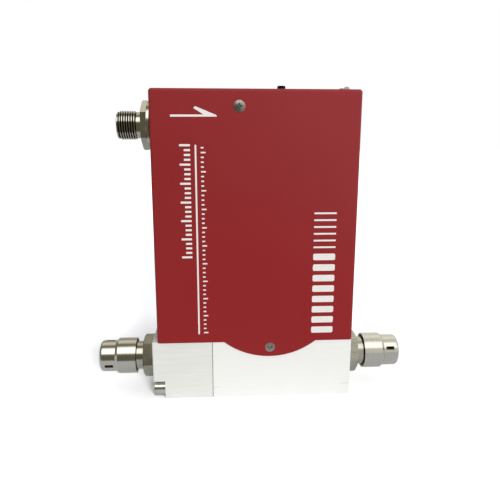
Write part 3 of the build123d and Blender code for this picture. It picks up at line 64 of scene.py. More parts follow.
class Term:
    """A shader value that takes part in Python arithmetic."""

    def __init__(self, net: "Net", socket: bpy.types.NodeSocket) -> None:
        """Keeps the socket and the node tree that it belongs to."""
        self.net = net
        self.socket = socket

    def __add__(self, other: "Amount") -> "Term":
        """self + other."""
        return self.net.math("ADD", self, other)

    def __radd__(self, other: "Amount") -> "Term":
        """other + self."""
        return self.net.math("ADD", other, self)

    def __sub__(self, other: "Amount") -> "Term":
        """self - other."""
        return self.net.math("SUBTRACT", self, other)

    def __rsub__(self, other: "Amount") -> "Term":
        """other - self."""
        return self.net.math("SUBTRACT", other, self)

    def __mul__(self, other: "Amount") -> "Term":
        """self * other."""
        return self.net.math("MULTIPLY", self, other)

    def __rmul__(self, other: "Amount") -> "Term":
        """other * self."""
        return self.net.math("MULTIPLY", other, self)

    def __truediv__(self, other: "Amount") -> "Term":
        """self / other."""
        return self.net.math("DIVIDE", self, other)

    def __abs__(self) -> "Term":
        """Size of the value without its sign."""
        return self.net.math("ABSOLUTE", self)

    def ramp(self, low: float, high: float, start: float = 0.0, end: float = 1.0) -> "Term":
        """Smooth step between two levels.

        Args:
            low: level at which the step starts.
            high: level at which the step ends.
            start: result below the step.
            end: result above the step.

        Returns:
            The stepped value.
        """
        return self.net.term(
            "ShaderNodeMapRange",
            {"interpolation_type": "SMOOTHSTEP"},
            {"Value": self, "From Min": low, "From Max": high, "To Min": start, "To Max": end},
        )

    def between(self, low: float, high: float, soft: float) -> "Term":
        """1 inside the band from low to high, 0 outside it, with soft edges."""
        return self.ramp(low - soft, low) * self.ramp(high, high + soft, 1.0, 0.0)


Amount = Union[Term, float, int]


class Net:
    """A node tree that is written as expressions."""

    def __init__(self, tree: bpy.types.NodeTree) -> None:
        """Empties the tree and starts writing in it."""
        self.tree = tree
        self.tree.nodes.clear()

    def node(self, kind: str, settings: dict, inputs: dict) -> bpy.types.Node:
        """Adds one node.

        Args:
            kind: the node's type name.
            settings: attributes of the node, set before its sockets.
            inputs: values or terms by socket name or number.

        Returns:
            The new node.
        """
        made = self.tree.nodes.new(kind)
        for key, value in settings.items():
            setattr(made, key, value)
        for key, value in inputs.items():
            if isinstance(value, Term):
                self.tree.links.new(value.socket, made.inputs[key])
            else:
                made.inputs[key].default_value = value
        return made

    def term(self, kind: str, settings: dict, inputs: dict, output: Union[int, str] = 0) -> Term:
        """Adds one node and returns the named output as a term."""
        return Term(self, self.node(kind, settings, inputs).outputs[output])

    def math(self, operation: str, *values: Amount) -> Term:
        """Adds one Math node on the given values."""
        return self.term("ShaderNodeMath", {"operation": operation}, dict(enumerate(values)))

    def place(self) -> Term:
        """Object coordinates, which are the part's own frame in metres."""
        return self.term("ShaderNodeTexCoord", {}, {}, "Object")

    def split(self, vector: Term) -> tuple[Term, Term, Term]:
        """The three components of a vector."""
        made = self.node("ShaderNodeSeparateXYZ", {}, {0: vector})
        return tuple(Term(self, made.outputs[i]) for i in range(3))

    def joined(self, x: Amount, y: Amount, z: Amount) -> Term:
        """A vector from three components."""
        return self.term("ShaderNodeCombineXYZ", {}, {0: x, 1: y, 2: z})

    def noise(self, vector: Term, size: float, detail: float = 2.0) -> Term:
        """Noise from 0 to 1 whose cells have the given size in metres.

        Args:
            vector: where the noise is read.
            size: size of a cell, in the vector's units.
            detail: octaves of finer noise.

        Returns:
            The noise as a value.
        """
        return self.term(
            "ShaderNodeTexNoise", {}, {"Vector": vector, "Scale": 1 / size, "Detail": detail}
        )

    def mix(self, factor: Amount, first: Union[Term, Colour], second: Union[Term, Colour]) -> Term:
        """Blends two colours: the first where the factor is 0, the second where it is 1."""
        return self.term(
            "ShaderNodeMix", {"data_type": "RGBA"}, {0: factor, 6: first, 7: second}, 2
        )

    def bump(self, height: Amount, depth: float, strength: float = 1.0) -> Term:
        """Surface relief from a height of 0 to 1 and its depth in metres."""
        return self.term(
            "ShaderNodeBump", {}, {"Strength": strength, "Distance": depth, "Height": height}
        )

    def surface(self, **inputs: Union[Term, Colour, float]) -> None:
        """Ends the tree in a Principled shader with the given sockets."""
        named = {
            key.replace("_", " ").title().replace("Ior", "IOR"): value for key, value in inputs.items()
        }
        shader = self.node("ShaderNodeBsdfPrincipled", {}, named)
        self.node("ShaderNodeOutputMaterial", {}, {"Surface": Term(self, shader.outputs[0])})


class Grain(Enum):
    """How the marks of a machined or moulded surface lie."""

    ALONG = "lines along the flow direction"
    TURNED = "rings about an axis along the flow direction"
    PLAIN = "even speckle with no direction"


@dataclass(frozen=True)
class Finish:
    """What all finishes share: a name, and a material built from it."""

    name: str

    def write(self, net: Net) -> None:
        """Writes the finish's own nodes; each finish has its own."""
        raise NotImplementedError

    def material(self) -> bpy.types.Material:
        """The finish as a material, made once."""
        label = "finish_" + self.name
        made = bpy.data.materials.get(label)
        if made is None:
            made = bpy.data.materials.new(label)
            made.use_nodes = True
            self.write(Net(made.node_tree))
        return made


@dataclass(frozen=True)
class Metal(Finish):
    """Machined, turned or plated metal."""

    light: Colour
    dark: Colour
    roughness: tuple[float, float] = (0.2, 0.32)
    metallic: float = 1.0
    grain: Grain = Grain.PLAIN
    pitch: float = 0.35 * MM
    relief: float = 0.002 * MM
    axis_height: float = 15.3 * MM
    stretch: float = 60.0
    root: float = 0.0
    root_band: tuple[float, float] = (0.1 * MM, 0.55 * MM)
    root_span: tuple[float, float] = (-56.4 * MM, -48.9 * MM)
    root_fade: float = 0.2 * MM
    # painted shade: near-black colour painted into the thread roots
    root_shade: Colour = tone("1E1C16")

    def marks(self, net: Net) -> Term:
        """The tool marks as a value from 0 to 1."""
        place = net.place()
        x, y, z = net.split(place)
        if self.grain is Grain.ALONG:
            lines = net.joined(x / self.stretch, y, z)
        elif self.grain is Grain.TURNED:
            high = z - self.axis_height
            radius = net.math("SQRT", y * y + high * high)
            lines = net.joined(x, radius, 0.0)
        else:
            lines = place
        return net.noise(lines, self.pitch, 3.0)

    def shade_thread_roots(self, net: Net, colour: Term) -> Term:
        """The colour with painted shade in the thread roots.

        Args:
            net: the tree that the colour belongs to.
            colour: the plain metal's colour.

        Returns:
            The colour, with painted shade near the root radius within the threaded span.
        """
        x, y, z = net.split(net.place())
        high = z - self.axis_height
        radius = net.math("SQRT", y * y + high * high)
        inner, outer = self.root_band
        root_shade_mask = radius.ramp(self.root + inner, self.root + outer, 1.0, 0.0)
        start, end = self.root_span
        threaded = (x - start).ramp(0.0, self.root_fade) * (x - end).ramp(0.0, self.root_fade, 1.0, 0.0)
        return net.mix(root_shade_mask * threaded, colour, self.root_shade)

    def write(self, net: Net) -> None:
        """Streaks of tone, roughness and relief along the grain, with broad handling marks over them."""
        marks = self.marks(net)
        smudge = net.noise(net.place(), 9 * MM, 2.0).ramp(0.35, 0.7)
        shade = marks.ramp(0.25, 0.75) * 0.7 + smudge * 0.3
        low, high = self.roughness
        colour = net.mix(shade, self.dark, self.light)
        # painted shade in the thread roots of threaded parts
        if self.root > 0:
            colour = self.shade_thread_roots(net, colour)
        net.surface(
            base_color=colour,
            roughness=low + (high - low) * (marks.ramp(0.3, 0.7, 1.0, 0.0) * 0.6 + smudge * 0.4),
            metallic=self.metallic,
            normal=net.bump(marks, self.relief),
        )


@dataclass(frozen=True)
class MilledBlock(Finish):
    """Stainless block: fine milling lines along the flow, a few deeper scores, soft broad shade."""

    light: Colour
    dark: Colour
    seam: Colour
    joint_x: float = -17.95 * MM
    scores: tuple[tuple[float, float, float], ...] = ()
    line_size: float = 0.3 * MM
    band_size: float = 1.2 * MM
    cloud_size: float = 14 * MM
    score_half: float = 0.05 * MM
    seam_band: tuple[float, float] = (0.09 * MM, 0.2 * MM)

    def write(self, net: Net) -> None:
        """Milling lines, scores at given places and the dark joint between the blocks."""
        place = net.place()
        x, y, z = net.split(place)
        fine = net.noise(net.joined(x / 60, y, z), self.line_size, 3.0)
        broad = net.noise(net.joined(x / 18, y, z), self.band_size, 2.0)
        cloud = net.noise(place, self.cloud_size, 1.0)
        score: Amount = 0.0
        for start, end, height in self.scores:
            level = z.between(height - self.score_half, height + self.score_half, 0.09 * MM)
            score = x.between(start, end, 0.5 * MM) * level + score
        lines = fine.ramp(0.3, 0.72) * 0.45 + broad.ramp(0.35, 0.65) * 0.15 + cloud * 0.4
        seam = abs(x - self.joint_x).ramp(*self.seam_band, 1.0, 0.0)
        mark = net.math("MAXIMUM", score * 0.35, seam * 0.85)
        net.surface(
            base_color=net.mix(mark, net.mix(lines, self.dark, self.light), self.seam),
            roughness=0.5 + 0.14 * fine.ramp(0.3, 0.7),
            metallic=0.18,
            normal=net.bump(fine * 0.7 + broad * 0.3, 0.003 * MM),
        )


@dataclass(frozen=True)
class BakedPaint(Finish):
    """Satin paint with a fine grain, with a painted sheen that makes it paler towards its upper right and
    painted shade that makes it a deeper red low down.
    """

    body: Colour
    # the second colour is a painted sheen and the third a painted shade
    sheen_tone: Colour
    shade_tone: Colour
    middle_x: float = 6 * MM
    sheen_span: tuple[float, float] = (40 * MM, 150 * MM)
    shade_span: tuple[float, float] = (60 * MM, 110 * MM)
    cloud_size: float = 22 * MM
    grain_size: float = 0.55 * MM
    dust_size: float = 0.16 * MM
    relief: float = 0.012 * MM

    def write(self, net: Net) -> None:
        """Painted sheen towards the upper right, painted shade low down, cloudy thickness, fine grain and a
        soft coat.
        """
        place = net.place()
        x, y, z = net.split(place)
        # painted sheen: paler towards the upper right, where the satin coat catches the light
        high = (x * 0.8 + z * 0.8).ramp(*self.sheen_span)
        # painted shade: a deeper red low down and away from the middle, where the sheen fades
        low = (z + abs(x - self.middle_x) * 0.4).ramp(*self.shade_span, 1.0, 0.0)
        cloud = net.noise(place, self.cloud_size, 3.0)
        grain = net.noise(place, self.grain_size, 2.0)
        dust = net.noise(place, self.dust_size, 1.0)
        # the painted sheen is mixed in first, then the painted shade
        colour = net.mix(high * 0.8 + (cloud - 0.5) * 0.3, self.body, self.sheen_tone)
        colour = net.mix(low * 0.6 + (grain - 0.5) * 0.3, colour, self.shade_tone)
        net.surface(
            base_color=colour,
            roughness=0.42 + 0.14 * grain + 0.05 * cloud,
            specular_ior_level=0.35,
            coat_weight=0.04,
            coat_roughness=0.35,
            normal=net.bump(grain * 0.6 + dust * 0.4, self.relief),
        )


@dataclass(frozen=True)
class Moulded(Finish):
    """Plastic, rubber, ceramic or board: one colour with a fine texture of its own."""

    body: Colour
    shade: Colour
    roughness: float = 0.5
    texture: float = 0.3 * MM
    relief: float = 0.006 * MM
    gloss: float = 0.35

    def write(self, net: Net) -> None:
        """Fine moulded texture in colour, roughness and relief."""
        place = net.place()
        fine = net.noise(place, self.texture, 3.0)
        broad = net.noise(place, 12 * self.texture, 1.0)
        net.surface(
            base_color=net.mix(fine.ramp(0.3, 0.7) * 0.6 + broad * 0.4, self.body, self.shade),
            roughness=self.roughness + 0.12 * (fine - 0.5),
            specular_ior_level=self.gloss,
            normal=net.bump(fine, self.relief),
        )


@dataclass(frozen=True)
class ClearMoulding(Finish):
    """Clear lens whose pinkish tint is a painted reflection of the red cover round it."""

    body: Colour
    # painted shade colour at the lens's base
    foot_shade: Colour
    opacity: float
    foot_span: tuple[float, float] = (135.6 * MM, 137.0 * MM)

    def write(self, net: Net) -> None:
        """See-through body with painted shade low down at its base: darker and denser there, standing for the
        dark outline of a clear dome.
        """
        place = net.place()
        x, y, z = net.split(place)
        # painted shade: darker and denser towards the base
        foot_shade_mask = z.ramp(*self.foot_span, 1.0, 0.0)
        haze = net.noise(place, 0.4 * MM, 2.0)
        net.surface(
            base_color=net.mix(foot_shade_mask * 0.8 + haze * 0.2, self.body, self.foot_shade),
            roughness=0.1 + 0.1 * haze,
            alpha=self.opacity + 0.25 * foot_shade_mask,
            coat_weight=0.6,
            coat_roughness=0.05,
        )


@dataclass(frozen=True)
class Finishes:
    """Every finish of the controller, by the slot or the node that wears it."""

    # the cover paint's second colour is its painted sheen and its third its painted shade
    paint: Finish = BakedPaint("cover_paint", tone("8C1E20"), tone("943033"), tone("921A1D"))
    ink: Finish = Moulded("white_ink", tone("F4F1EC"), tone("E4DFDA"), 0.42, 0.35 * MM, 0.004 * MM)
    main_block: Finish = MilledBlock(
        "main_block_steel", tone("FFFFFC"), tone("F8F8F3"), tone("45423A"),
        scores=((-17.6 * MM, -15.2 * MM, 5.0 * MM), (40.5 * MM, 43.9 * MM, 5.4 * MM)),
    )
    inlet_block: Finish = MilledBlock("inlet_block_steel", tone("F6F6F1"), tone("E9E9E2"), tone("45423A"))
    hexagon: Finish = Metal(
        "fitting_steel", tone("D2D0C6"), tone("AFACA0"), (0.12, 0.2), grain=Grain.ALONG, pitch=0.3 * MM,
        stretch=12.0,
    )
    cap: Finish = Metal(
        "cap_steel", tone("DEDCD4"), tone("CFCDC4"), (0.12, 0.18), grain=Grain.TURNED, pitch=0.3 * MM,
        relief=0.0005 * MM,
    )
    nickel: Finish = Metal(
        "nickel_plate", tone("DAD6CA"), tone("BEB9AC"), (0.12, 0.2), grain=Grain.TURNED, pitch=0.25 * MM,
        axis_height=120.7 * MM, root=5.3 * MM,
    )
    bright_screw: Finish = Metal("bright_screw", tone("E4E2DA"), tone("C9C6BC"), (0.14, 0.24), pitch=0.5 * MM)
    dull_screw: Finish = Metal("dull_screw", tone("B8B4AC"), tone("8E8A83"), (0.38, 0.5), pitch=0.4 * MM)
    plated: Finish = Metal("plated_steel", tone("C4C4C0"), tone("A3A3A0"), (0.3, 0.45), pitch=0.4 * MM)
    sheet: Finish = Metal(
        "chassis_sheet", tone("D5D6D6"), tone("BCBDBD"), (0.35, 0.5), grain=Grain.ALONG, pitch=0.4 * MM,
    )
    gold: Finish = Metal("contact_gold", tone("E3C27A"), tone("CBA55A"), (0.15, 0.25), pitch=0.3 * MM)
    copper: Finish = Metal("winding_copper", tone("D08A5C"), tone("B06A40"), (0.3, 0.4), pitch=0.1 * MM)
    sinter: Finish = Metal(
        "sintered_steel", tone("A09D96"), tone("74716B"), (0.5, 0.7), pitch=0.12 * MM, relief=0.02 * MM,
    )
    black: Finish = Moulded("black_plastic", tone("070708"), tone("0E0E0F"), 0.5, gloss=0.15)
    core: Finish = Moulded("connector_core", tone("161617"), tone("202022"), 0.5)
    rubber: Finish = Moulded("soft_seal", tone("1C1C1C"), tone("262626"), 0.7)
    board: Finish = Moulded("board_lacquer", tone("1E5B37"), tone("164A2C"), 0.35, 0.8 * MM)
    chip: Finish = Moulded("chip_case", tone("1A1A1C"), tone("242427"), 0.55)
    ceramic: Finish = Moulded("stack_ceramic", tone("CDC6B2"), tone("B7AF99"), 0.6, 0.5 * MM)
    lead: Finish = Moulded("lead_cover", tone("9C9C9E"), tone("8A8A8D"), 0.5)
    film: Finish = Moulded("lead_film", tone("B5762A"), tone("98601E"), 0.3, 0.6 * MM)
    # the pinkish first colour is a painted reflection of the red cover; the darker second colour is painted
    # shade at the lens's base
    lens: Finish = ClearMoulding("status_lens_clear", tone("CDB9B7"), tone("9A7F7D"), 0.78)


@dataclass(frozen=True)
class Dressing:
    """Which finish each node of the controller wears."""

    finishes: Finishes

    def table(self) -> dict[str, Finish]:
        """The finish of every node by name."""
        f = self.finishes
        groups: list[tuple[Finish, str]] = [
            (f.paint, "cover"),
            (f.main_block, "main_block"),
            (f.inlet_block, "inlet_block"),
            (f.hexagon, "inlet_fitting outlet_fitting sensor_base sensor_tube bypass_element valve_bonnet"),
            (f.hexagon, "valve_plunger valve_seat thrust_ball actuator_housing stack_adjuster stack_cap"),
            (f.cap, "inlet_cap outlet_cap"),
            (f.nickel, "connector_shell connector_nut board_posts board_spacers"),
            (f.bright_screw, "clamp_screws clamp_washers lower_cover_screws sensor_screws valve_screws"),
            (f.dull_screw, "upper_cover_screws"),
            (f.plated, "adjuster_nut board_screws chassis_screws panel_screws switch_plate"),
            (f.plated, "inlet_seal sensor_seals switch_dome valve_diaphragm valve_seal"),
            (f.sheet, "chassis capacitors sensor_case_back sensor_case_front"),
            (f.gold, "connector_pins"),
            (f.copper, "sensor_coils"),
            (f.sinter, "inlet_filter"),
            (f.black, "zero_button switch_base panel_header"),
            (f.core, "connector_insert"),
            (f.rubber, "connector_gasket"),
            (f.board, "control_board panel_board power_board"),
            (f.chip, "processor_chip board_link"),
            (f.ceramic, "piezo_stack"),
            (f.lead, "actuator_leads connector_ribbon"),
            (f.film, "sensor_flex"),
            (f.lens, "status_lens"),
        ]
        return {node: finish for finish, nodes in groups for node in nodes.split()}

    def dress(self) -> None:
        """Gives each node its finish."""
        table = self.table()
        for name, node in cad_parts.items():
            wear(node, table[name])
        LOG.info("%d nodes dressed", len(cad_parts))


def wear(piece: bpy.types.Object, finish: Finish) -> None:
    """Puts one finish on all of a piece."""
    piece.data.materials.clear()
    piece.data.materials.append(finish.material())


class Bench:
    """Edit-mode moves that the sub-assemblies share."""

    @staticmethod
    def clear() -> None:
        """Back to object mode with nothing selected."""
        if bpy.context.object and bpy.context.object.mode != "OBJECT":
            bpy.ops.object.mode_set(mode="OBJECT")
        bpy.ops.object.select_all(action="DESELECT")

    @staticmethod
    def trace(name: str, points: Sequence[Vector], closed: bool) -> bpy.types.Object:
        """Draws a line by extruding one vertex from point to point, and stays in edit mode.

        Args:
            name: the new piece's name.
            points: the line's corners in metres.
            closed: whether the line is closed and filled with a face.

        Returns:
            The new piece, all of it selected.
        """
        Bench.clear()
        bpy.ops.mesh.primitive_plane_add(size=MM)
        piece = bpy.context.object
        piece.name = name
        piece.data.name = name
        bpy.ops.object.mode_set(mode="EDIT")
        bpy.ops.mesh.select_mode(type="VERT")
        bpy.ops.mesh.select_all(action="SELECT")
        bpy.ops.mesh.merge(type="CENTER")
        bpy.ops.transform.translate(value=points[0])
        for here, there in zip(points, points[1:]):
            bpy.ops.mesh.extrude_region_move(TRANSFORM_OT_translate={"value": there - here})
        bpy.ops.mesh.select_all(action="SELECT")
        if closed:
            bpy.ops.mesh.edge_face_add()
        return piece

    @staticmethod
    def close(weld: float = 0.0005 * MM) -> None:
        """Merges what lies together, turns faces outwards and leaves edit mode."""
        bpy.ops.mesh.select_all(action="SELECT")
        bpy.ops.mesh.remove_doubles(threshold=weld)
        bpy.ops.mesh.normals_make_consistent(inside=False)
        bpy.ops.object.mode_set(mode="OBJECT")

    @staticmethod
    def plate(name: str, outline: Sequence[Vector], out: Vector, round_by: float = 0.0) -> bpy.types.Object:
        """A flat plate from its outline.

        Args:
            name: the new piece's name.
            outline: its corners in order.
            out: the way and length that it is extruded.
            round_by: how much each corner is rounded.

        Returns:
            The finished plate in object mode.
        """
        piece = Bench.trace(name, outline, True)
        if round_by > 0:
            bpy.ops.mesh.bevel(offset=round_by, segments=4, affect="VERTICES")
            bpy.ops.mesh.select_all(action="SELECT")
        bpy.ops.mesh.extrude_region_move(TRANSFORM_OT_translate={"value": out})
        Bench.close()
        return piece

    @staticmethod
    def turned(name: str, outline: Sequence[tuple[float, float]], steps: int) -> bpy.types.Object:
        """A body turned about the X axis from an outline of (x, radius)."""
        points = [Vector((x, 0.0, radius)) for x, radius in outline]
        piece = Bench.trace(name, points + points[:1], False)
        bpy.ops.mesh.spin(steps=steps, angle=2 * math.pi, center=(0, 0, 0), axis=(1, 0, 0))
        Bench.close()
        return piece

    @staticmethod
    def apply_all(piece: bpy.types.Object) -> None:
        """Applies every modifier of a piece in order."""
        Bench.clear()
        bpy.context.view_layer.objects.active = piece
        piece.select_set(True)
        for modifier in list(piece.modifiers):
            bpy.ops.object.modifier_apply(modifier=modifier.name)

    @staticmethod
    def keep_common(piece: bpy.types.Object, tool: bpy.types.Object) -> None:
        """Keeps only what a piece shares with a tool, which is used up."""
        modifier = piece.modifiers.new("common", "BOOLEAN")
        modifier.operation = "INTERSECT"
        modifier.solver = "EXACT"
        modifier.object = tool
        Bench.apply_all(piece)
        bpy.data.objects.remove(tool)

    @staticmethod
    def join(name: str, pieces: Sequence[bpy.types.Object]) -> bpy.types.Object:
        """Joins pieces into one object with the given name."""
        Bench.clear()
        for piece in pieces:
            piece.select_set(True)
        bpy.context.view_layer.objects.active = pieces[0]
        if len(pieces) > 1:
            bpy.ops.object.join()
        joined = bpy.context.object
        joined.name = name
        joined.data.name = name
        return joined

    @staticmethod
    def shift(piece: bpy.types.Object, by: Vector) -> None:
        """Moves a piece's mesh, with its object left at the origin."""
        Bench.clear()
        bpy.context.view_layer.objects.active = piece
        piece.select_set(True)
        bpy.ops.object.mode_set(mode="EDIT")
        bpy.ops.mesh.select_all(action="SELECT")
        bpy.ops.transform.translate(value=by)
        bpy.ops.object.mode_set(mode="OBJECT")

    @staticmethod
    def smooth(piece: bpy.types.Object, degrees: float = 32.0) -> None:
        """Shades a piece smooth up to an angle."""
        Bench.clear()
        bpy.context.view_layer.objects.active = piece
        piece.select_set(True)
        bpy.ops.object.shade_smooth_by_angle(angle=math.radians(degrees))

    @staticmethod
    def hand_over(piece: bpy.types.Object, finish: Finish, slot: str) -> None:
        """Dresses a finished piece and lets it ride on the controller."""
        wear(piece, finish)
        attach(piece, "controller")
        LOG.info("%s: %d faces", piece.name, len(piece.data.polygons))


@dataclass
class ThreadedConnector:
    """Round side connector with its fine thread cut: distances run outwards from the cover's wall."""

    finish: Finish
    wall_x: float = -42.15 * MM
    axis_height: float = 120.7 * MM
    mount_start: float = -8.8 * MM
    collar_start: float = 0.8 * MM
    hex_start: float = 2.0 * MM
    neck_start: float = 4.4 * MM
    thread_start: float = 6.7 * MM
    thread_end: float = 14.1 * MM
    tip: float = 14.9 * MM
    bore: float = 5.15 * MM
    mount_radius: float = 7.6 * MM
    collar_radius: float = 10.0 * MM
    neck_radius: float = 5.45 * MM
    crest_radius: float = 6.0 * MM
    root_radius: float = 5.3 * MM
    lead_in_radius: float = 5.6 * MM
    hex_flats: float = 18.0 * MM
    hex_cut: float = 0.8 * MM
    hex_cone_slope: float = 2.0
    washer_cut: float = 0.35 * MM
    washer_cut_length: float = 0.3 * MM
    edge_break: float = 0.1 * MM
    root_run_out: float = 0.7 * MM
    lead_in_step: float = 0.15 * MM
    tip_edge: float = 0.25 * MM
    lip: float = 0.2 * MM
    cone_room: float = 0.05 * MM
    pitch: float = 1.0 * MM
    ridge_shares: tuple[float, float, float, float] = (0.1, 0.32, 0.68, 0.9)
    ridge_sink: float = 0.08 * MM
    ridge_run_out: float = 0.6 * MM
    turn_steps: int = 96

    def outward(self, distance: float) -> float:
        """Place along X of a distance from the wall."""
        return self.wall_x - distance

    def body(self) -> bpy.types.Object:
        """Collar, neck, thread core and bore as one turned body."""
        outline = [
            (self.mount_start, self.bore), (self.mount_start, self.mount_radius),
            (self.collar_start, self.mount_radius), (self.collar_start, self.collar_radius),
            (self.hex_start - self.edge_break, self.collar_radius),
            (self.hex_start, self.collar_radius - self.edge_break),
            (self.hex_start, self.neck_radius), (self.thread_start - self.root_run_out, self.neck_radius),
            (self.thread_start, self.root_radius), (self.thread_end, self.root_radius),
            (self.thread_end + self.lead_in_step, self.lead_in_radius),
            (self.tip - self.tip_edge, self.lead_in_radius), (self.tip, self.lead_in_radius - self.lip),
            (self.tip, self.bore + self.lead_in_step), (self.tip - self.lead_in_step, self.bore),
        ]
        return Bench.turned("shell_body", [(self.outward(s), r) for s, r in outline], self.turn_steps)

    def hexagon(self) -> bpy.types.Object:
        """Hexagon with corners up and down, its outer corners cut by a cone."""
        corner = self.hex_flats / math.sqrt(3)
        ring = [math.radians(60 * k + 90) for k in range(6)]
        outline = [
            Vector((self.outward(self.hex_start), corner * math.cos(a), corner * math.sin(a)))
            for a in ring
        ]
        prism = Bench.plate("shell_hexagon", outline, Vector((self.hex_start - self.neck_start, 0, 0)))
        proud = corner + self.cone_room
        back, front = self.hex_start - self.edge_break, self.neck_start + self.edge_break
        narrow = proud - self.hex_cone_slope * (self.hex_cut / 2 + self.edge_break)
        cone = [
            (back, 0.0), (back, corner - self.washer_cut), (self.hex_start + self.washer_cut_length, proud),
            (self.neck_start - self.hex_cut / 2, proud), (front, narrow), (front, 0.0),
        ]
        tool = Bench.turned("hexagon_cone", [(self.outward(s), r) for s, r in cone], self.turn_steps + 4)
        Bench.keep_common(prism, tool)
        return prism

    def thread(self) -> bpy.types.Object:
        """Helical thread ridge, cut by a cone at both ends so that it runs out."""
        sunk = self.root_radius - self.ridge_sink
        cover = self.crest_radius + self.cone_room
        start = self.outward(self.thread_end + self.pitch)
        turns = math.ceil((self.thread_end - self.thread_start) / self.pitch) + 2
        radii = (sunk, self.crest_radius, self.crest_radius, sunk)
        outline = [
            Vector((start + share * self.pitch, 0.0, radius))
            for share, radius in zip(self.ridge_shares, radii)
        ]
        ridge = Bench.trace("shell_thread", outline + outline[:1], False)
        Bench.close()
        screw = ridge.modifiers.new("helix", "SCREW")
        screw.axis = "X"
        screw.angle = 2 * math.pi
        screw.screw_offset = self.pitch
        screw.iterations = turns
        screw.steps = self.turn_steps
        screw.render_steps = self.turn_steps
        Bench.apply_all(ridge)
        bpy.ops.object.mode_set(mode="EDIT")
        bpy.ops.mesh.select_all(action="SELECT")
        bpy.ops.mesh.fill_holes(sides=0)
        Bench.close()
        cone = [
            (self.thread_end, 0.0), (self.thread_end, self.root_radius),
            (self.thread_end - self.ridge_run_out, cover), (self.thread_start + self.ridge_run_out, cover),
            (self.thread_start, self.root_radius), (self.thread_start, 0.0),
        ]
        tool = Bench.turned("thread_cone", [(self.outward(s), r) for s, r in cone], self.turn_steps)
        Bench.keep_common(ridge, tool)
        return ridge

    def build(self) -> bpy.types.Object:
        """The whole shell in place of the plain one."""
        shell = Bench.join("threaded_shell", [self.body(), self.hexagon(), self.thread()])
        Bench.shift(shell, Vector((0, 0, self.axis_height)))
        Bench.smooth(shell)
        Bench.hand_over(shell, self.finish, "nickel")
        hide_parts("connector_shell")
        return shell


@dataclass(frozen=True)
class TickRow:
    """Ticks on one side of the rule, in millimetres: side is -1 to its left and 1 to its right."""

    side: int
    count: int
    first: float
    height: float
    gap: float
    reach: float
    long_reach: float


@dataclass(frozen=True)
class BarRow:
    """Equal bars one above the other, in millimetres."""

    count: int
    first: float
    step: float
    height: float


@dataclass
class PrintedMarks:
    """Plain white marks printed on the cover's front: an arrow, a ruled scale and a row of bars."""

    finish: Finish
    front_y: float = -15.15 * MM
    ink: float = 0.03 * MM
    rule_x: float = -23.7 * MM
    rule_width: float = 0.7 * MM
    rule_low: float = 31.0 * MM
    rule_high: float = 112.8 * MM
    tick_step: float = 1.95
    long_every: int = 4
    tick_rows: tuple[TickRow, ...] = (
        TickRow(-1, 25, 65.4, 0.85, 2.2, 2.6, 4.4), TickRow(1, 42, 31.4, 0.6, 2.1, 1.2, 2.0),
    )
    bar_sides: tuple[float, float] = (26.0, 35.6)
    bar_rows: tuple[BarRow, ...] = (BarRow(8, 30.6, 4.75, 2.9), BarRow(6, 69.2, 2.95, 0.75))
    bar_round: float = 0.22
    arrow_round: float = 0.12 * MM
    arrow_outline: tuple[tuple[float, float], ...] = (
        (-33.6, 123.85), (-14.9, 123.95), (-14.9, 124.5), (-23.5, 128.0), (-24.3, 127.3),
        (-20.2, 124.75), (-33.6, 124.7),
    )

    def flat(
        self, name: str, corners: Sequence[tuple[float, float]], round_by: float = 0.0
    ) -> bpy.types.Object:
        """One printed shape from its corners as (x, z) in millimetres."""
        back = self.front_y + self.ink / 2
        outline = [Vector((x * MM, back, z * MM)) for x, z in corners]
        return Bench.plate(name, outline, Vector((0, -1.5 * self.ink, 0)), round_by)

    def bar(self, name: str, left: float, right: float, low: float, high: float) -> bpy.types.Object:
        """One printed bar with softly rounded corners, its sides in millimetres."""
        corner = min(right - left, high - low) * self.bar_round * MM
        return self.flat(name, [(left, low), (right, low), (right, high), (left, high)], corner)

    def arrow(self) -> bpy.types.Object:
        """Half arrow that points along the flow."""
        return self.flat("flow_arrow", self.arrow_outline, self.arrow_round)

    def scale(self) -> bpy.types.Object:
        """Thin rule with plain ticks on both sides of it."""
        x = self.rule_x / MM
        half = self.rule_width / MM / 2
        marks = [self.bar("flow_scale", x - half, x + half, self.rule_low / MM, self.rule_high / MM)]
        for row in self.tick_rows:
            for step in range(row.count):
                level = row.first + step * self.tick_step
                reach = row.long_reach if step % self.long_every == 0 else row.reach
                ends = sorted((x + row.side * row.gap, x + row.side * (row.gap + reach)))
                marks.append(self.bar("tick", ends[0], ends[1], level, level + row.height))
        return Bench.join("flow_scale", marks)

    def bars(self) -> bpy.types.Object:
        """Column of plain bars, broad below and thin above."""
        left, right = self.bar_sides
        marks = []
        for row in self.bar_rows:
            for step in range(row.count):
                level = row.first + step * row.step
                marks.append(self.bar("bar", left, right, level, level + row.height))
        return Bench.join("plain_bars", marks)

    def build(self) -> list[bpy.types.Object]:
        """All the marks, each group a piece of its own."""
        made = [self.arrow(), self.scale(), self.bars()]
        for piece in made:
            Bench.hand_over(piece, self.finish, "painted_red")
        return made


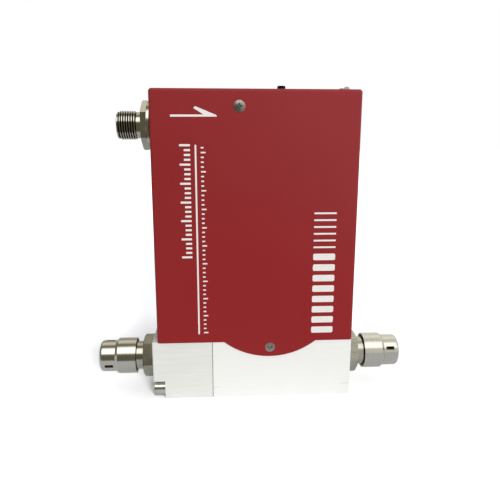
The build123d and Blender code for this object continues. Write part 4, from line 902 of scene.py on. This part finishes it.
@dataclass(frozen=True)
class Studio:
    """Pale floor, soft light and the camera at the photograph's angle."""

    camera_place: tuple[float, float, float] = (-14.42 * MM, -231.92 * MM, 116.42 * MM)
    pitch: float = -12.39
    yaw: float = -3.45
    roll: float = -0.10
    lens: float = 37.44
    sensor: float = 36.0
    lamp_turn: float = 18.0
    lamp_rise: float = 20.0
    lamp_spread: float = 14.0
    lamp_power: float = 1.75
    floor_gain: float = 1.85
    sky_even: float = 0.45
    sky_mirrored: float = 1.9
    floor_size: float = 8.0
    floor_drop: float = 0.05 * MM
    dim_front: tuple[float, float] = (-88 * MM, -48 * MM)
    dim_end: tuple[float, float] = (45 * MM, 70 * MM)
    far_ring: tuple[float, float] = (0.0085, 0.03)
    far_gain: float = 0.5
    room_stops: tuple[tuple[float, str], ...] = (
        (0.0, "4B483A"), (0.14, "4E4B3D"), (0.185, "A8A69C"), (0.205, "FFFFFF"), (0.385, "FFFFFF"),
        (0.42, "BCB9AE"), (0.47, "6E6B5E"), (0.5, "545145"), (0.535, "5A574B"), (0.6, "989588"),
        (0.69, "B6B4A9"), (0.76, "8E8B7F"), (0.83, "77746A"), (1.0, "8F8D84"),
    )

    def camera(self) -> None:
        """Camera that looks slightly down and towards the outlet side."""
        data = bpy.data.cameras.new("photo_camera")
        data.lens = self.lens
        data.sensor_width = self.sensor
        data.clip_start = 0.005
        camera = bpy.data.objects.new("photo_camera", data)
        bpy.context.scene.collection.objects.link(camera)
        turn = Matrix.Rotation(math.radians(self.yaw), 4, "Z")
        tilt = Matrix.Rotation(math.radians(self.pitch), 4, "X")
        lean = Matrix.Rotation(math.radians(self.roll), 4, "Y")
        level = Matrix.Rotation(math.radians(90), 4, "X")
        camera.matrix_world = Matrix.Translation(self.camera_place) @ turn @ tilt @ lean @ level
        bpy.context.scene.camera = camera

    def lamp(self) -> None:
        """One broad, low lamp in front and to the right, which polished metal doesn't mirror."""
        turn, rise = math.radians(self.lamp_turn), math.radians(self.lamp_rise)
        data = bpy.data.lights.new("key_lamp", "SUN")
        data.energy = self.lamp_power
        data.angle = math.radians(self.lamp_spread)
        lamp = bpy.data.objects.new("key_lamp", data)
        bpy.context.scene.collection.objects.link(lamp)
        way = Vector((-math.sin(turn) * math.cos(rise), math.cos(turn) * math.cos(rise), -math.sin(rise)))
        lamp.rotation_euler = way.to_track_quat("-Z", "Y").to_euler()
        lamp.visible_glossy = False

    def floor(self) -> None:
        """Wide white floor: a white sheet under the part, with a dim room in front of it for metal to show."""
        Bench.clear()
        below = (0, 0, -self.floor_drop)
        bpy.ops.mesh.primitive_plane_add(size=self.floor_size, location=below)
        floor = bpy.context.object
        floor.name = "studio_floor"
        bpy.ops.object.mode_set(mode="EDIT")
        bpy.ops.mesh.subdivide(number_cuts=3)
        bpy.ops.object.mode_set(mode="OBJECT")
        material = bpy.data.materials.new("studio_floor")
        material.use_nodes = True
        net = Net(material.node_tree)
        x, y, z = net.split(net.place())
        seen, mirrored = self.rays(net)
        front = y.ramp(*self.dim_front, 1.0, 0.0) * x.ramp(*self.dim_end, 1.0, 0.1) * mirrored
        far = (x * x + y * y * 2.2).ramp(*self.far_ring)
        white = net.mix(front, tone("F4F5F6"), (0.2, 0.19, 0.14, 1.0))
        gain = self.floor_gain + self.far_gain * far
        white = net.mix(seen, white, net.joined(gain, gain, gain))
        net.node(
            "ShaderNodeOutputMaterial", {},
            {"Surface": net.term("ShaderNodeBsdfDiffuse", {}, {"Color": white})},
        )
        floor.data.materials.append(material)

    @staticmethod
    def rays(net: Net) -> tuple[Term, Term]:
        """Masks of what the eye sees, straight or through the lens, and of what metal mirrors."""
        path = net.node("ShaderNodeLightPath", {}, {})
        camera, through, glossy = (
            Term(net, path.outputs[name]) for name in ("Is Camera Ray", "Is Transmission Ray", "Is Glossy Ray")
        )
        return net.math("MAXIMUM", camera, through), glossy

    def world(self) -> None:
        """White to the eye, even light on matt things, and a dim-fronted room in polished metal."""
        world = bpy.data.worlds.new("studio_world")
        world.use_nodes = True
        bpy.context.scene.world = world
        net = Net(world.node_tree)
        seen, mirrored = self.rays(net)
        x, y, z = net.split(net.term("ShaderNodeTexCoord", {}, {}, "Generated"))
        angle = net.math("ARCTAN2", z, 0 - y) / math.pi
        side = abs(x).ramp(0.42, 0.75)
        room = net.node("ShaderNodeValToRGB", {}, {"Fac": angle})
        ramp = room.color_ramp
        for place, code in self.room_stops[1:-1]:
            ramp.elements.new(place).color = tone(code)
        ramp.elements[0].color = tone(self.room_stops[0][1])
        ramp.elements[-1].color = tone(self.room_stops[-1][1])
        darker = side * x.ramp(-0.1, 0.1, 1.0, 0.55)
        mirror_room = net.mix(darker, Term(net, room.outputs[0]), tone("5C594E"))
        mirror_room = net.mix(x.ramp(0.1, 0.26, 0.0, 0.5), mirror_room, tone("D8D6CE"))
        even = net.mix(mirrored, (0.95, 0.975, 1.0, 1.0), mirror_room)
        shown = net.mix(seen, even, (1.0, 1.0, 1.0, 1.0))
        strength = self.sky_even + (1 - self.sky_even) * seen + (self.sky_mirrored - self.sky_even) * mirrored
        sky = net.term("ShaderNodeBackground", {}, {"Color": shown, "Strength": strength})
        net.node("ShaderNodeOutputWorld", {}, {"Surface": sky})

    def build(self) -> None:
        """Camera, floor, world and lamp."""
        self.camera()
        self.floor()
        self.world()
        self.lamp()
        bpy.context.scene.view_settings.view_transform = "Standard"
        LOG.info("studio set")


def main() -> None:
    """Builds the studio, dresses the nodes and adds the pieces of fine detail."""
    logging.basicConfig(level=logging.INFO, format="%(name)s: %(message)s")
    finishes = Finishes()
    Studio().build()
    Dressing(finishes).dress()
    ThreadedConnector(finishes.nickel).build()
    PrintedMarks(finishes.ink).build()


if __name__ == "__main__":
    main()
